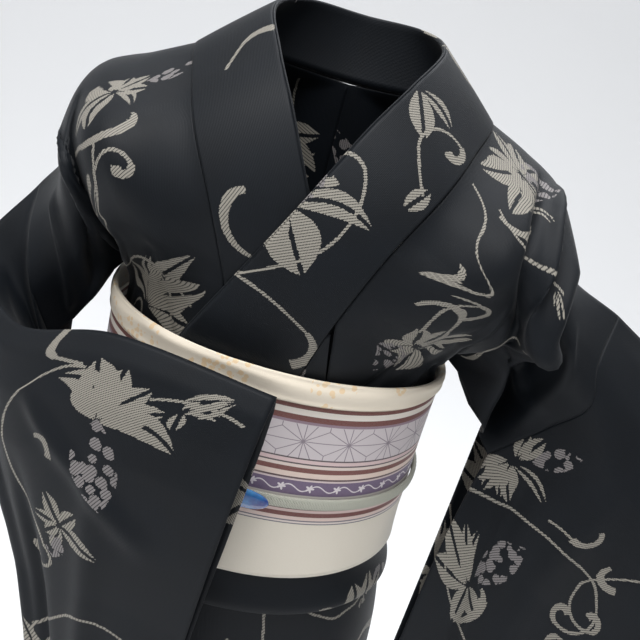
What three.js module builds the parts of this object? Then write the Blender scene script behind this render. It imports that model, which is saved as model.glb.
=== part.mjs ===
// A worn kimono with its tied obi, filled out with no wearer inside.
// Millimetres, +Z up, the front faces -Y and the wearer's left is +X.
// The origin is on the body's axis at the height where the neck carries the collar.
import * as THREE from "three";

// Driving heights
const OBI_TOP = -250;
const OBI_HEIGHT = 155;
const OBI_BOTTOM = OBI_TOP - OBI_HEIGHT;
const TUCK_DEPTH = 7; // how far the bodice reaches down behind the obi before its rows turn to rings
const TUCK = OBI_TOP - TUCK_DEPTH;
const HEM = -1340;

// Walls
const CLOTH = 1.1;
const OBI_WALL = 3.2;
const SEAM_GAP = 0.36;
const SLEEVE_GAP = 1.5;

// The wrapped skirt is a spiral: its offset from the figure falls from the outer edge to the inner one
const OUTER_EDGE = -80;
const INNER_EDGE = 422;
const LEFT_SEAM = 95;
const BACK_SEAM = 180;
const RIGHT_SEAM = 265;
const LEFT_OVERLAP_SEAM = -12;
const RIGHT_OVERLAP_SEAM = 366;
const SPIRAL_DEPTH = 7;

// The figure that the cloth goes round: half width, depth in front and depth behind at each height
const FIGURE = [
  { z: -150, width: 128, front: 104, back: 84 },
  { z: -250, width: 122, front: 103, back: 86 },
  { z: -330, width: 121, front: 102, back: 87 },
  { z: -405, width: 124, front: 103, back: 93 },
  { z: -440, width: 134, front: 105, back: 101 },
  { z: -490, width: 143, front: 108, back: 112 },
  { z: -560, width: 147, front: 111, back: 122 },
  { z: -650, width: 148, front: 112, back: 125 },
  { z: -780, width: 147, front: 111, back: 120 },
  { z: -960, width: 145, front: 109, back: 113 },
  { z: -1150, width: 143, front: 107, back: 109 },
  { z: -1340, width: 142, front: 106, back: 107 },
];
const FIGURE_POWER = 2.1;
const SIDE_RISE = 9; // the obi and the fold under it sit this much higher at the sides

// One half of the collar from the nape to its hidden end: its free edge and its seam with the body
const COLLAR = [
  { name: "nape", edge: [0, 94, 6], seam: [0, 84, -50], bow: 2 },
  { name: "behind the ear", edge: [46, 74, 8], seam: [72, 60, -44], bow: 2 },
  { name: "neck side", edge: [65, 14, 2], seam: [114, 6, -39], bow: 1 },
  { name: "collarbone", edge: [48, -48, -22], seam: [105, -48, -57], bow: 1 },
  { name: "upper chest", edge: [27, -84, -52], seam: [89, -90, -84], bow: 2 },
  { name: "crossing", edge: [-2, -110, -106], seam: [63, -114, -128], bow: 3 },
  { name: "below the bust", edge: [-31, -114, -161], seam: [41, -119, -182], bow: 4 },
  { name: "above the obi", edge: [-62, -103, -222], seam: [27, -113, -230], bow: 5 },
  { name: "behind the obi", edge: [-76, -93, -255], seam: [23, -110, -255], bow: 5 },
];
const NECK_ROW = 2;
const TIP_ROW = 6;
const LAST_ROW = COLLAR.length - 1;
const COLLAR_LAP = 2.6; // the left half lies this far out and the right half this far in
const UNDER_LAP = 8; // the right half goes this much further in behind the obi

// The top of each body panel, from the collar seam over the shoulder to the sleeve seam
const SHOULDER = {
  left: [[114, 6, -39], [150, 4, -55], [180, 3, -73], [196, 1, -106], [208, 0, -134], [259, 0, -158]],
  right: [[-114, 6, -39], [-150, 4, -57], [-184, 3, -74], [-198, 1, -108], [-196, 0, -146], [-216, -4, -180]],
};
// The sleeve seam in front and behind, from the shoulder fold down to the open side
const SLEEVE_SEAM = {
  left: {
    front: [[259, 0, -158], [248, -34, -190], [253, -40, -222], [233, -24, -256], [192, -30, -292]],
    back: [[259, 0, -158], [254, 34, -190], [240, 48, -238], [192, 34, -296]],
  },
  right: {
    front: [[-216, -4, -180], [-206, -44, -210], [-196, -52, -246], [-178, -40, -292]],
    back: [[-216, -4, -180], [-220, 34, -214], [-208, 46, -256], [-180, 30, -298]],
  },
};
// The belt line where each body panel leaves the obi, and the share of its width that goes behind it
const BELT_LINE = {
  frontStart: 21,
  side: 88,
  share: 0.66,
};

// Soft folds, ridges above 0 or troughs below, along a line of the panel in shares of its width and length
const BODICE_FOLDS = {
  left: [
    { from: 0.44, to: 0.86, width: 0.07, lift: 26, across: 12, start: -0.1, end: 1.2 },
    { from: 0.62, to: 0.95, width: 0.08, lift: -30, across: -4, start: 0.05, end: 1.1 },
    { from: 0.3, to: 0.52, width: 0.06, lift: -5, across: 0, start: 0.3, end: 1.1 },
  ],
  right: [
    { from: 0.4, to: 0.62, width: 0.05, lift: -20, across: 6, start: 0.0, end: 1.05 },
    { from: 0.66, to: 0.8, width: 0.09, lift: 24, across: -4, start: -0.1, end: 1.2 },
    { from: 0.2, to: 0.4, width: 0.06, lift: -4, across: 0, start: 0.4, end: 1.1 },
  ],
};

// Sleeves: a row for each station from the seam to the cuff, with the arm's top and the bag's middle and foot
const SLEEVE_LENGTH = 490;
const MIDDLE_SHARE = 0.45;
const CUFF_OPENING = 0.47; // share of the sleeve's length that is open at the cuff
const SLEEVE = {
  left: [
    { top: [259, 0, -158], middle: [176, -46], foot: [158, -68], belly: 1 },
    { top: [322, -4, -194], middle: [258, -30], foot: [232, -52], belly: 1.1 },
    { top: [392, -18, -240], middle: [342, -40], foot: [322, -56], belly: 1.05 },
    { top: [468, -56, -290], middle: [436, -64], foot: [420, -72], belly: 0.95 },
    { top: [536, -104, -336], middle: [524, -104], foot: [512, -108], belly: 0.85 },
  ],
  right: [
    { top: [-216, -4, -180], middle: [-163, -38], foot: [-122, -88], belly: 0.9 },
    { top: [-244, -34, -232], middle: [-140, -82], foot: [-96, -124], belly: 0.7 },
    { top: [-188, -100, -258], middle: [-122, -122], foot: [-74, -146], belly: 0.7 },
    { top: [-104, -140, -227], middle: [-77, -150], foot: [-46, -156], belly: 0.6 },
    { top: [16, -162, -230], middle: [-2, -166], foot: [-18, -172], belly: 0.5 },
  ],
};
// Half the distance between a sleeve's front and back, by share of its length
const SLEEVE_SECTION = [
  { t: 0, half: 0 },
  { t: 0.03, half: 17 },
  { t: 0.09, half: 29 },
  { t: 0.17, half: 34 },
  { t: 0.28, half: 29 },
  { t: 0.42, half: 18 },
  { t: 0.6, half: 11 },
  { t: 0.8, half: 8 },
  { t: 1, half: 4 },
];
const SLEEVE_COLUMNS = 11;
const SLEEVE_ROWS = [0, 0.015, 0.05, 0.11, 0.18, 0.26, 0.335, 0.4, 0.47, 0.58, 0.72, 0.86, 1];

// Belt pieces: distances out from the figure and heights
const OBI_OUT = 14;
const SCARF = { bottom: -249.4, height: 21, low: 10, inner: 12.9, front: 3.4, depth: 6.6 };
const CORD = { z: -333, height: 9.5, inner: OBI_OUT + OBI_WALL + 0.9, depth: 4 };
const CLIP = { x: 6, length: 48, height: 17, depth: 6 };
const KNOT_WIDTH = 300;
const KNOT_WALL = 3;
// Side view of the drum knot: from the hidden start behind it, over the top, down the back and up inside
const DRUM = [
  { y: 106.8, z: -298 },
  { y: 110.4, z: -258 },
  { y: 112.5, z: -232 },
  { y: 124, z: -213 },
  { y: 146, z: -212 },
  { y: 163, z: -232 },
  { y: 173, z: -280 },
  { y: 178, z: -350 },
  { y: 178, z: -430 },
  { y: 172, z: -480 },
  { y: 160, z: -496 },
  { y: 147, z: -488 },
  { y: 134, z: -456 },
  { y: 123, z: -415 },
  { y: 118.3, z: -388 },
];
// The tail hangs below the drum, flat against the obi and the skirt
const TAIL = [
  { y: 106.2, z: -346 },
  { y: 109, z: -380 },
  { y: 112.6, z: -410 },
  { y: 116.6, z: -445 },
  { y: 121.5, z: -500 },
  { y: 129, z: -574 },
];

const toVector = (p) => new THREE.Vector3(...p);
const mix = (a, b, t) => a + (b - a) * t;
// A column of a table by share, straight between its rows
function interpolate(rows, key, t) {
  let i = 0;
  while (i < rows.length - 2 && rows[i + 1].t < t) i++;
  const part = (t - rows[i].t) / (rows[i + 1].t - rows[i].t);
  return mix(rows[i][key], rows[i + 1][key], Math.min(1, Math.max(0, part)));
}
const clamp = (t) => Math.min(1, Math.max(0, t));
const smooth = (t) => clamp(t) ** 2 * (3 - 2 * clamp(t));
const bell = (t) => Math.exp(-t * t);
const steps = (count, from = 0, to = 1) =>
  Array.from({ length: count + 1 }, (_, i) => mix(from, to, i / count));

// Cubic curve through points, walked by length, as a function of 0 to 1
function curveThrough(points) {
  const curve = new THREE.CatmullRomCurve3(points.map(toVector), false, "centripetal");
  curve.arcLengthDivisions = 120;
  return (t) => curve.getPointAt(clamp(t));
}

// A column of a table at a height, as a cubic through its rows
function tableAt(rows, column, z) {
  const last = rows.length - 1;
  let i = 0;
  while (i < last - 1 && rows[i + 1].z > z) i++;
  const [a, b] = [rows[i], rows[i + 1]];
  const slope = (j) => {
    const [p, q] = [rows[Math.max(0, j - 1)], rows[Math.min(last, j + 1)]];
    return (q[column] - p[column]) / (q.z - p.z);
  };
  const span = b.z - a.z;
  const t = clamp((z - a.z) / span);
  const [t2, t3] = [t * t, t * t * t];
  return (
    (2 * t3 - 3 * t2 + 1) * a[column] +
    (t3 - 2 * t2 + t) * span * slope(i) +
    (3 * t2 - 2 * t3) * b[column] +
    (t3 - t2) * span * slope(i + 1)
  );
}

// A point of the figure's ring at a height: angle 0 is the front, 90 the wearer's left
function figurePoint(angle, z, offset) {
  const turn = THREE.MathUtils.degToRad(angle);
  const [sine, cosine] = [Math.sin(turn), Math.cos(turn)];
  const round = (v) => Math.sign(v) * Math.abs(v) ** (2 / FIGURE_POWER);
  const depth = tableAt(FIGURE, cosine > 0 ? "front" : "back", z) + offset;
  return new THREE.Vector3(
    round(sine) * (tableAt(FIGURE, "width", z) + offset),
    -round(cosine) * depth,
    z,
  );
}

const spiralOffset = (angle) =>
  SPIRAL_DEPTH * (1 - (angle - OUTER_EDGE) / (INNER_EDGE - OUTER_EDGE));

// The surface between four curves: the plan and the height each follow their own course down it
function between(top, bottom, inner, outer, course, push) {
  const [a, b, c, d] = [top(0), top(1), bottom(0), bottom(1)];
  const at = (s, v) => {
    const along = top(s).multiplyScalar(1 - v).addScaledVector(bottom(s), v);
    const across = inner(v).multiplyScalar(1 - s).addScaledVector(outer(v), s);
    const corners = a.clone().multiplyScalar((1 - s) * (1 - v));
    corners.addScaledVector(b, s * (1 - v)).addScaledVector(c, (1 - s) * v);
    return along.add(across).sub(corners.addScaledVector(d, s * v));
  };
  return (s, v) => at(s, course(s, v)).setZ(at(s, v).z).add(push(s, v));
}

// Rows of points of a surface, each row at one length along it
const grid = (surface, across, down) => down.map((v) => across.map((s) => surface(s, v)));

// Gives a set of joined grids a thickness: points that coincide are one, and each open edge gets a rim
function thicken(patches, wall) {
  const points = [];
  const index = new Map();
  const faces = [];
  const pointOf = (p) => {
    const key = [p.x, p.y, p.z].map((c) => Math.round(c * 50)).join();
    if (!index.has(key)) {
      index.set(key, points.length);
      points.push(p);
    }
    return index.get(key);
  };
  for (const { rows, flip } of patches) {
    const ids = rows.map((row) => row.map(pointOf));
    for (let i = 0; i + 1 < ids.length; i++) {
      for (let j = 0; j + 1 < ids[i].length; j++) {
        const [a, b, c, d] = [ids[i][j], ids[i + 1][j], ids[i + 1][j + 1], ids[i][j + 1]];
        for (const f of [[a, b, c], [a, c, d]]) {
          if (new Set(f).size === 3) faces.push(flip ? [f[0], f[2], f[1]] : f);
        }
      }
    }
  }
  const normals = points.map(() => new THREE.Vector3());
  const [u, w] = [new THREE.Vector3(), new THREE.Vector3()];
  for (const [a, b, c] of faces) {
    u.subVectors(points[b], points[a]);
    w.subVectors(points[c], points[a]);
    u.cross(w);
    for (const k of [a, b, c]) normals[k].add(u);
  }
  const outside = points.map((p, k) => p.clone().addScaledVector(normals[k].normalize(), wall));
  const count = points.length;
  const open = new Map();
  for (const f of faces) {
    f.forEach((a, k) => {
      const b = f[(k + 1) % 3];
      if (!open.delete(b + "," + a)) open.set(a + "," + b, [a, b]);
    });
  }
  const solid = faces.map(([a, b, c]) => [a + count, b + count, c + count]);
  for (const [a, b, c] of faces) solid.push([a, c, b]);
  for (const [a, b] of open.values()) {
    solid.push([a, b, b + count], [a, b + count, a + count]);
  }
  const geometry = new THREE.BufferGeometry();
  const all = [...points, ...outside].flatMap((p) => [p.x, p.y, p.z]);
  geometry.setAttribute("position", new THREE.Float32BufferAttribute(all, 3));
  geometry.setIndex(solid.flat());
  geometry.computeVertexNormals();
  return geometry;
}

// A closed tube: section points placed at each step of a closed or open path
function tube(pathPoint, sectionPoint, pathSteps, sides, closed) {
  const count = closed ? pathSteps : pathSteps + 1;
  const points = [];
  for (let i = 0; i < count; i++) {
    for (let j = 0; j < sides; j++) {
      points.push(sectionPoint(pathPoint(i / pathSteps), (j / sides) * 2 * Math.PI, i / pathSteps));
    }
  }
  const faces = [];
  const id = (i, j) => (i % count) * sides + (j % sides);
  for (let i = 0; i < (closed ? count : count - 1); i++) {
    for (let j = 0; j < sides; j++) {
      faces.push(id(i, j), id(i + 1, j), id(i + 1, j + 1));
      faces.push(id(i, j), id(i + 1, j + 1), id(i, j + 1));
    }
  }
  if (!closed) {
    for (let j = 1; j + 1 < sides; j++) {
      faces.push(id(0, 0), id(0, j), id(0, j + 1));
      faces.push(id(count - 1, 0), id(count - 1, j + 1), id(count - 1, j));
    }
  }
  const geometry = new THREE.BufferGeometry();
  geometry.setAttribute(
    "position",
    new THREE.Float32BufferAttribute(points.flatMap((p) => [p.x, p.y, p.z]), 3),
  );
  geometry.setIndex(faces);
  geometry.computeVertexNormals();
  return geometry;
}

// How far the cloth of each half lies out at the crossed front, by height
const lapShare = (z) => smooth((-z - 40) / 60);
const sideSign = { left: 1, right: -1 };

// A point of a collar half's edge or seam by row, where rows count from the nape
function collarLine(side, part) {
  const sign = sideSign[side];
  const points = COLLAR.map((row) => {
    const [x, y, z] = row[part];
    const inward = side === "right" ? UNDER_LAP * smooth((-z - 115) / 85) : 0;
    return [sign * x, y - (y < 0 ? sign * COLLAR_LAP * lapShare(z) : 0) + inward, z];
  });
  const [x, y, z] = COLLAR[1][part];
  const curve = new THREE.CatmullRomCurve3([[-sign * x, y, z], ...points].map(toVector));
  return (row) => curve.getPoint((row + 1) / points.length);
}

// The wrap below the belt line: each row's height and distance out; the fold under the obi doubles back
const WAIST_ROWS = [
  { z: TUCK, out: 3.6 },
  { z: -300, out: 3.6 },
  { z: -350, out: 3.6 },
  { z: -392, out: 3.6 },
  { z: -418, out: 6 },
  { z: -436, out: 8.4 },
  { z: -441, out: 6.8 },
  { z: -438, out: 4.5 },
  { z: -413, out: 3.2 },
  { z: -408, out: 1.9 },
  { z: -412, out: 0.6 },
  { z: -452, out: 0 },
];
const FOLD_START = 3;
const UNDER_OUT = 1.2;
const SKIRT_HEIGHTS = [-500, -560, -640, -760, -920, -1100, -1240, HEM];
const CORNER_RAISE = 42; // how far the hem rises at the wrap's outer and inner front corners
const RAISE_ANGLE = 75;

const hemRaise = (angle) =>
  CORNER_RAISE *
  (smooth(1 - (angle - OUTER_EDGE) / RAISE_ANGLE) +
    1.4 * smooth(1 - (INNER_EDGE - angle) / RAISE_ANGLE));

const sideRise = (angle, z) =>
  SIDE_RISE *
  Math.sin(THREE.MathUtils.degToRad(angle)) ** 2 *
  smooth((-z - 330) / 60) *
  smooth((z + 520) / 60);

// Angles of a panel's columns at a height: they move over behind the obi, where nothing shows
function panelAngle(above, below, z) {
  return mix(below, above, smooth((z - OBI_BOTTOM) / (TUCK - OBI_BOTTOM)));
}

// The rings of a panel from the belt line to the hem; the layer beneath has its fold laid flat
function wrapRows(above, below) {
  const plain = steps(WAIST_ROWS.length - 1 - FOLD_START, -392, -452);
  const rows = WAIST_ROWS.map(({ z, out }, i) =>
    above.map((start, k) => {
      const angle = panelAngle(start, below[k], z);
      const flat = isUnder(angle);
      const height = i > FOLD_START ? mix(z, plain[i - FOLD_START], flat) : z;
      const away = mix(out, UNDER_OUT * smooth((height + 390) / 100), flat);
      return figurePoint(angle, height + sideRise(angle, height), spiralOffset(angle) + away);
    }),
  );
  const first = WAIST_ROWS[WAIST_ROWS.length - 1].z;
  for (const height of SKIRT_HEIGHTS) {
    rows.push(
      below.map((angle) => {
        const raise = hemRaise(angle) * ((first - height) / (first - HEM)) ** 2;
        return figurePoint(angle, height + sideRise(angle, height) + raise, spiralOffset(angle));
      }),
    );
  }
  return rows;
}

// How far the bodice lies out where it meets the belt line
const isUnder = (angle) => smooth((angle - RIGHT_SEAM - 1) / 12);
const beltOut = (angle) => spiralOffset(angle) + mix(WAIST_ROWS[0].out, UNDER_OUT, isUnder(angle));
const BODY_RADIUS = 140; // a round figure's, for small angles
const gapAngle = THREE.MathUtils.radToDeg(SEAM_GAP / 2 / BODY_RADIUS);

// Where each panel's edges lie below the obi and at the belt line
const PANELS = {
  frontLeft: {
    below: [LEFT_OVERLAP_SEAM + gapAngle, LEFT_SEAM - gapAngle],
    above: [BELT_LINE.frontStart + gapAngle, BELT_LINE.side - gapAngle],
  },
  backLeft: {
    below: [BACK_SEAM - gapAngle, LEFT_SEAM + gapAngle],
    above: [BACK_SEAM - gapAngle, BELT_LINE.side + gapAngle],
  },
  frontRight: {
    below: [RIGHT_OVERLAP_SEAM - gapAngle, RIGHT_SEAM + gapAngle],
    above: [360 - BELT_LINE.frontStart - gapAngle, 360 - BELT_LINE.side + gapAngle],
  },
  backRight: {
    below: [BACK_SEAM + gapAngle, RIGHT_SEAM - gapAngle],
    above: [BACK_SEAM + gapAngle, 360 - BELT_LINE.side - gapAngle],
  },
};

const BODICE_COLUMNS_IN = 7;
const BODICE_COLUMNS_OUT = 7;
const BODICE_ROWS = 10;
// The lower edge of the loose cloth under the arm, from the belt line out to the sleeve seam
const LOOSE_EDGE = [
  { t: 0, z: 30 },
  { t: 0.15, z: 34 },
  { t: 0.3, z: 33 },
  { t: 0.45, z: 22 },
  { t: 0.7, z: 8 },
  { t: 1, z: 0 },
];
const FRONT_BEND = 0.66;
const BACK_BEND = 0.3;

const inColumns = steps(BODICE_COLUMNS_IN, 0, BELT_LINE.share);
const outColumns = steps(BODICE_COLUMNS_OUT, BELT_LINE.share, 1);
const bodiceColumns = [...inColumns, ...outColumns.slice(1)];

// Height of a fold's ridge or trough at a place on the panel
function foldAt(fold, s, v) {
  const line = mix(fold.from, fold.to, v);
  const ends = smooth((v - fold.start) / 0.25) * smooth((fold.end - v) / 0.2);
  return ends * bell((s - line) / fold.width);
}

// One half of the body above the obi: front or back, from the shoulder fold down
function bodice(side, face) {
  const sign = sideSign[side];
  const front = face === "front";
  const panel = PANELS[face + (side === "left" ? "Left" : "Right")];
  const shoulder = curveThrough(SHOULDER[side]);
  const seam = curveThrough(SLEEVE_SEAM[side][face]);
  const belt = (s) => {
    const angle = mix(panel.above[0], panel.above[1], clamp(s / BELT_LINE.share));
    const atBelt = figurePoint(angle, TUCK, beltOut(angle));
    const t = clamp((s - BELT_LINE.share) / (1 - BELT_LINE.share));
    const lift = interpolate(LOOSE_EDGE, "z", t) * (side === "left" ? 1 : 1.4);
    const level = mix(TUCK, seam(1).z, t) + lift * smooth((s - BELT_LINE.share + 0.1) / 0.1);
    return atBelt.lerp(seam(1), t).setZ(level);
  };
  const collarSeam = collarLine(side, "seam");
  const bend = front ? FRONT_BEND : BACK_BEND;
  const bendRow = front ? TIP_ROW : 0;
  const inset = new THREE.Vector3(sign * (front ? 0.15 : 0.35), 0, 0);
  const inner = (v) =>
    (v < bend
      ? collarSeam(mix(NECK_ROW, bendRow, v / bend))
      : collarSeam(bendRow).lerp(belt(0), (v - bend) / (1 - bend))
    ).addScaledVector(inset, v < 1 ? Math.min(1, v / bend) : 0);
  const away = front ? -1 : 1;
  const folds = front ? BODICE_FOLDS[side] : [];
  const chest = front ? 46 : 34;
  const push = (s, v) => {
    const edge = smooth(s / 0.32) * smooth((1 - s) / 0.45);
    const round = Math.sqrt(Math.max(0, 1 - (1 - Math.min(1, v / 0.45)) ** 2)) * smooth((0.9 - v) / 0.66);
    const moved = new THREE.Vector3(0, away * chest * edge * round, 0);
    for (const fold of folds) {
      const h = foldAt(fold, s, v) * Math.min(1, v / 0.15) * Math.min(1, (1 - s) / 0.1);
      const belted = s < BELT_LINE.share ? smooth((1 - v) / 0.25) : 1;
      moved.y += away * fold.lift * h * belted;
      moved.x += sign * fold.across * h * belted;
    }
    return moved;
  };
  // Above the belt the cloth turns in early, so that it goes down behind the scarf
  const tucked = (s) => smooth(s / 0.15) * smooth((BELT_LINE.share + 0.1 - s) / 0.1);
  const course = (s, v) => v + (1 - v) * smooth((v - 0.52) / 0.34) * tucked(s);
  return between(shoulder, belt, inner, seam, course, push);
}

function bodyPanel(side) {
  const name = side === "left" ? "Left" : "Right";
  const left = side === "left";
  const patches = [];
  for (const face of ["front", "back"]) {
    const front = face === "front";
    const flip = left !== front;
    const bend = front ? FRONT_BEND : BACK_BEND;
    const upper = Math.round(BODICE_ROWS * bend);
    const down = [...steps(upper, 0, bend), ...steps(BODICE_ROWS - upper, bend, 1).slice(1)];
    patches.push({ rows: grid(bodice(side, face), bodiceColumns, down), flip });
    const { above: start, below: end } = PANELS[face + name];
    const shares = inColumns.map((s) => s / BELT_LINE.share);
    const angles = ([from, to]) => shares.map((s) => mix(from, to, s));
    patches.push({ rows: wrapRows(angles(start), angles(end)), flip });
  }
  return thicken(patches, CLOTH);
}

const TIP_COLUMNS = 2;
const HIDDEN_COLUMNS = 4;

// The overlap panel of one front: a narrow tip between the collar and the body, and the wrap below it
function overlapPanel(side) {
  const left = side === "left";
  const sign = sideSign[side];
  const place = (angle) => (left ? angle : 360 - angle);
  const seam = (left ? LEFT_OVERLAP_SEAM : RIGHT_OVERLAP_SEAM) - sign * gapAngle;
  const free = left ? OUTER_EDGE : INNER_EDGE;
  const tipStart = place(8);
  const tipEnd = place(BELT_LINE.frontStart - gapAngle);
  const tipAngles = steps(TIP_COLUMNS, tipStart, tipEnd);
  const above = [...steps(HIDDEN_COLUMNS, free, tipStart), ...tipAngles.slice(1)];
  const below = above.map((angle, k) => mix(free, seam, k / (above.length - 1)));
  const collarSeam = collarLine(side, "seam");
  const tip = collarSeam(TIP_ROW + 0.12);
  const row = (v) => {
    const inset = new THREE.Vector3(sign * 2.6 * (v > 0 ? 1 : 0), 0, 0);
    const from = collarSeam(mix(TIP_ROW + 0.12, LAST_ROW, v)).add(inset);
    return tipAngles.map((angle, k) => {
      const onBelt = figurePoint(angle, TUCK, beltOut(angle));
      const last = figurePoint(tipEnd, TUCK, beltOut(tipEnd));
      const toward = from.clone().lerp(tip.clone().lerp(last, v), k / TIP_COLUMNS);
      return toward.lerp(onBelt, v ** 3);
    });
  };
  return thicken(
    [
      { rows: steps(4).map(row), flip: !left },
      { rows: wrapRows(above, below), flip: !left },
    ],
    CLOTH,
  );
}

const COLLAR_STEPS = 15;
const FOLD_RADIUS = 1.1; // the over collar's fold round the collar's free edge

// A strip of the collar: columns by share of its width from the seam, each with a distance out
function collarStrip(rowCount, section) {
  const half = (side) => {
    const [edge, seam] = [collarLine(side, "edge"), collarLine(side, "seam")];
    return (row) => {
      const [e, m] = [edge(row), seam(row)];
      const bow = tableBow(row);
      const along = [seam, edge].map((line) =>
        line(Math.min(row + 0.1, LAST_ROW)).sub(line(Math.max(row - 0.1, 0))).normalize(),
      );
      const across = e.clone().sub(m);
      const length = across.length();
      across.normalize();
      const outAt = (share) =>
        across
          .clone()
          .cross(along[0].clone().lerp(along[1], share))
          .multiplyScalar(sideSign[side])
          .normalize();
      return section.map(([share, inset, lift]) =>
        m
          .clone()
          .addScaledVector(across, share * length + inset)
          .addScaledVector(outAt(share), lift + 4 * share * (1 - share) * bow),
      );
    };
  };
  const [left, right] = [half("left"), half("right")];
  const rows = steps(COLLAR_STEPS, 0, LAST_ROW).slice(0, rowCount);
  return [...rows.slice(1).reverse().map(left), ...rows.map(right)];
}

const tableBow = (row) => {
  const i = Math.min(LAST_ROW - 1, Math.floor(row));
  return mix(COLLAR[i].bow, COLLAR[i + 1].bow, row - i);
};
const foldPoint = (turn) => {
  const a = THREE.MathUtils.degToRad(turn);
  return [1, Math.cos(a) * FOLD_RADIUS - 1.5, CLOTH / 2 - Math.sin(a) * FOLD_RADIUS];
};

function collarPiece() {
  const section = [[0, 1.8, 0], [0.33, 0, 0], [0.66, 0, 0], [1, -2.4, 0]];
  return thicken([{ rows: collarStrip(COLLAR_STEPS + 1, section), flip: false }], CLOTH);
}

// The over collar is folded round the collar's free edge: an outer leaf with the fold, and an inner leaf
function overCollarPiece() {
  const [high, low] = [CLOTH / 2 + FOLD_RADIUS, CLOTH / 2 - FOLD_RADIUS];
  const outer = [[0, 1.6, high], [0.33, 0, high], [0.66, 0, high], ...[-90, -45, 0, 45, 90].map(foldPoint)];
  const inner = [[0, 2.8, low], [0.33, 0, low], [0.66, 0, low], foldPoint(90)];
  return thicken(
    [
      { rows: collarStrip(COLLAR_STEPS, outer), flip: false },
      { rows: collarStrip(COLLAR_STEPS, inner), flip: true },
    ],
    CLOTH,
  );
}

// One sleeve: a bag hung from the arm, open at the cuff above and along the body below the seam
function sleeve(side) {
  const sign = sideSign[side];
  const stations = SLEEVE[side];
  const hang = (from, [x, y], share) => {
    const drop = Math.sqrt((SLEEVE_LENGTH * share) ** 2 - (x - from[0]) ** 2 - (y - from[1]) ** 2);
    return [x, y, from[2] - drop];
  };
  const lines = stations.map((station, i) => {
    const before = stations[Math.max(0, i - 1)].top;
    const after = stations[Math.min(stations.length - 1, i + 1)].top;
    const forward = new THREE.Vector3(after[0] - before[0], after[1] - before[1], 0).normalize();
    const out = new THREE.Vector3(sign * forward.y, -sign * forward.x, 0);
    const middle = hang(station.top, station.middle, MIDDLE_SHARE);
    const foot = hang(middle, station.foot, 1 - MIDDLE_SHARE);
    const centre = curveThrough([station.top, middle, foot]);
    const line = (face) => {
      const away = face === "front" ? 1 : -1;
      if (i > 0) {
        return (t) =>
          centre(t).addScaledVector(out, away * interpolate(SLEEVE_SECTION, "half", t) * station.belly);
      }
      const seam = SLEEVE_SEAM[side][face].map(([x, y, z]) => [x + sign * SLEEVE_GAP, y, z]);
      const seamLine = curveThrough(seam);
      const share = 165 / SLEEVE_LENGTH;
      const end = seam[seam.length - 1];
      const free = curveThrough([
        end,
        [middle[0], middle[1] - away * 14, middle[2]],
        [foot[0], foot[1] - away * 6, foot[2]],
      ]);
      return (t) => (t <= share ? seamLine(t / share) : free((t - share) / (1 - share)));
    };
    return { front: line("front"), back: line("back") };
  });
  const across = steps(SLEEVE_COLUMNS);
  const rowOf = (face, t) => {
    const through = new THREE.CatmullRomCurve3(lines.map((line) => line[face](t)));
    return across.map((s) => through.getPoint(s));
  };
  const fronts = SLEEVE_ROWS.map((t) => rowOf("front", t));
  const backs = SLEEVE_ROWS.map((t) => rowOf("back", t));
  const last = SLEEVE_ROWS.length - 1;
  const keel = fronts[last].map((p, k) => p.clone().lerp(backs[last][k], 0.5).add(new THREE.Vector3(0, 0, -3)));
  const loop = [keel, ...fronts.slice().reverse(), ...backs.slice(1), keel];
  const flip = side === "right";
  const closed = SLEEVE_ROWS.map((t, i) => i).filter((i) => SLEEVE_ROWS[i] >= CUFF_OPENING);
  const beyond = lines.length - 1;
  const outward = toVector(stations[beyond].top).sub(toVector(stations[beyond - 1].top)).setLength(3);
  const cuff = closed.map((i) => {
    const [f, b] = [fronts[i][SLEEVE_COLUMNS], backs[i][SLEEVE_COLUMNS]];
    return [f, f.clone().lerp(b, 0.5).add(outward), b];
  });
  const corner = keel[SLEEVE_COLUMNS];
  cuff.push([corner, corner, corner]);
  return thicken([{ rows: loop, flip: !flip }, { rows: cuff, flip }], CLOTH);
}

// A band round the figure, from one end behind the knot to the other
function obiBand() {
  const columns = steps(40, BACK_SEAM + 0.3, BACK_SEAM + 359.7);
  const heights = [OBI_TOP, OBI_TOP - 50, OBI_TOP - 105, OBI_BOTTOM];
  const rows = heights.map((z) =>
    columns.map((angle) => figurePoint(angle, z + sideRise(angle, z), OBI_OUT)),
  );
  return thicken([{ rows, flip: false }], OBI_WALL);
}

// A ring round the figure with a rounded section, whose height and distance out depend on the angle
function ringAround(section, count, sides) {
  const flat = (v, power) => Math.sign(v) * Math.abs(v) ** power;
  const place = (t, round) => {
    const angle = t * 360;
    const { z, height, inner, depth } = section(angle);
    const out = inner + depth / 2 + (flat(Math.cos(round), 0.7) * depth) / 2;
    return figurePoint(angle, z + (flat(Math.sin(round), 0.7) * height) / 2, out);
  };
  return tube((t) => t, (t, round) => place(t, round), count, sides, true);
}

// The scarf is low where it passes under the wearer's left arm and stands out in front over the collar
function scarfSection(angle) {
  const height = mix(SCARF.height, SCARF.low, bell((angle - 105) / 50));
  const front = bell(((angle > 180 ? angle - 360 : angle) - 0) / 60);
  return {
    z: SCARF.bottom + height / 2,
    height,
    inner: SCARF.inner + SCARF.front * front,
    depth: SCARF.depth,
  };
}

// A strip across the back from a side view of its path
function strip(path, wall, width) {
  const line = curveThrough(path.map(({ y, z }) => [0, y, z]));
  const columns = steps(6, -width / 2, width / 2);
  const rows = steps(path.length + 9).map((v) =>
    columns.map((x) => line(v).add(new THREE.Vector3(x, -5 * (2 * x / width) ** 2, 0))),
  );
  return thicken([{ rows, flip: true }], wall);
}

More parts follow.
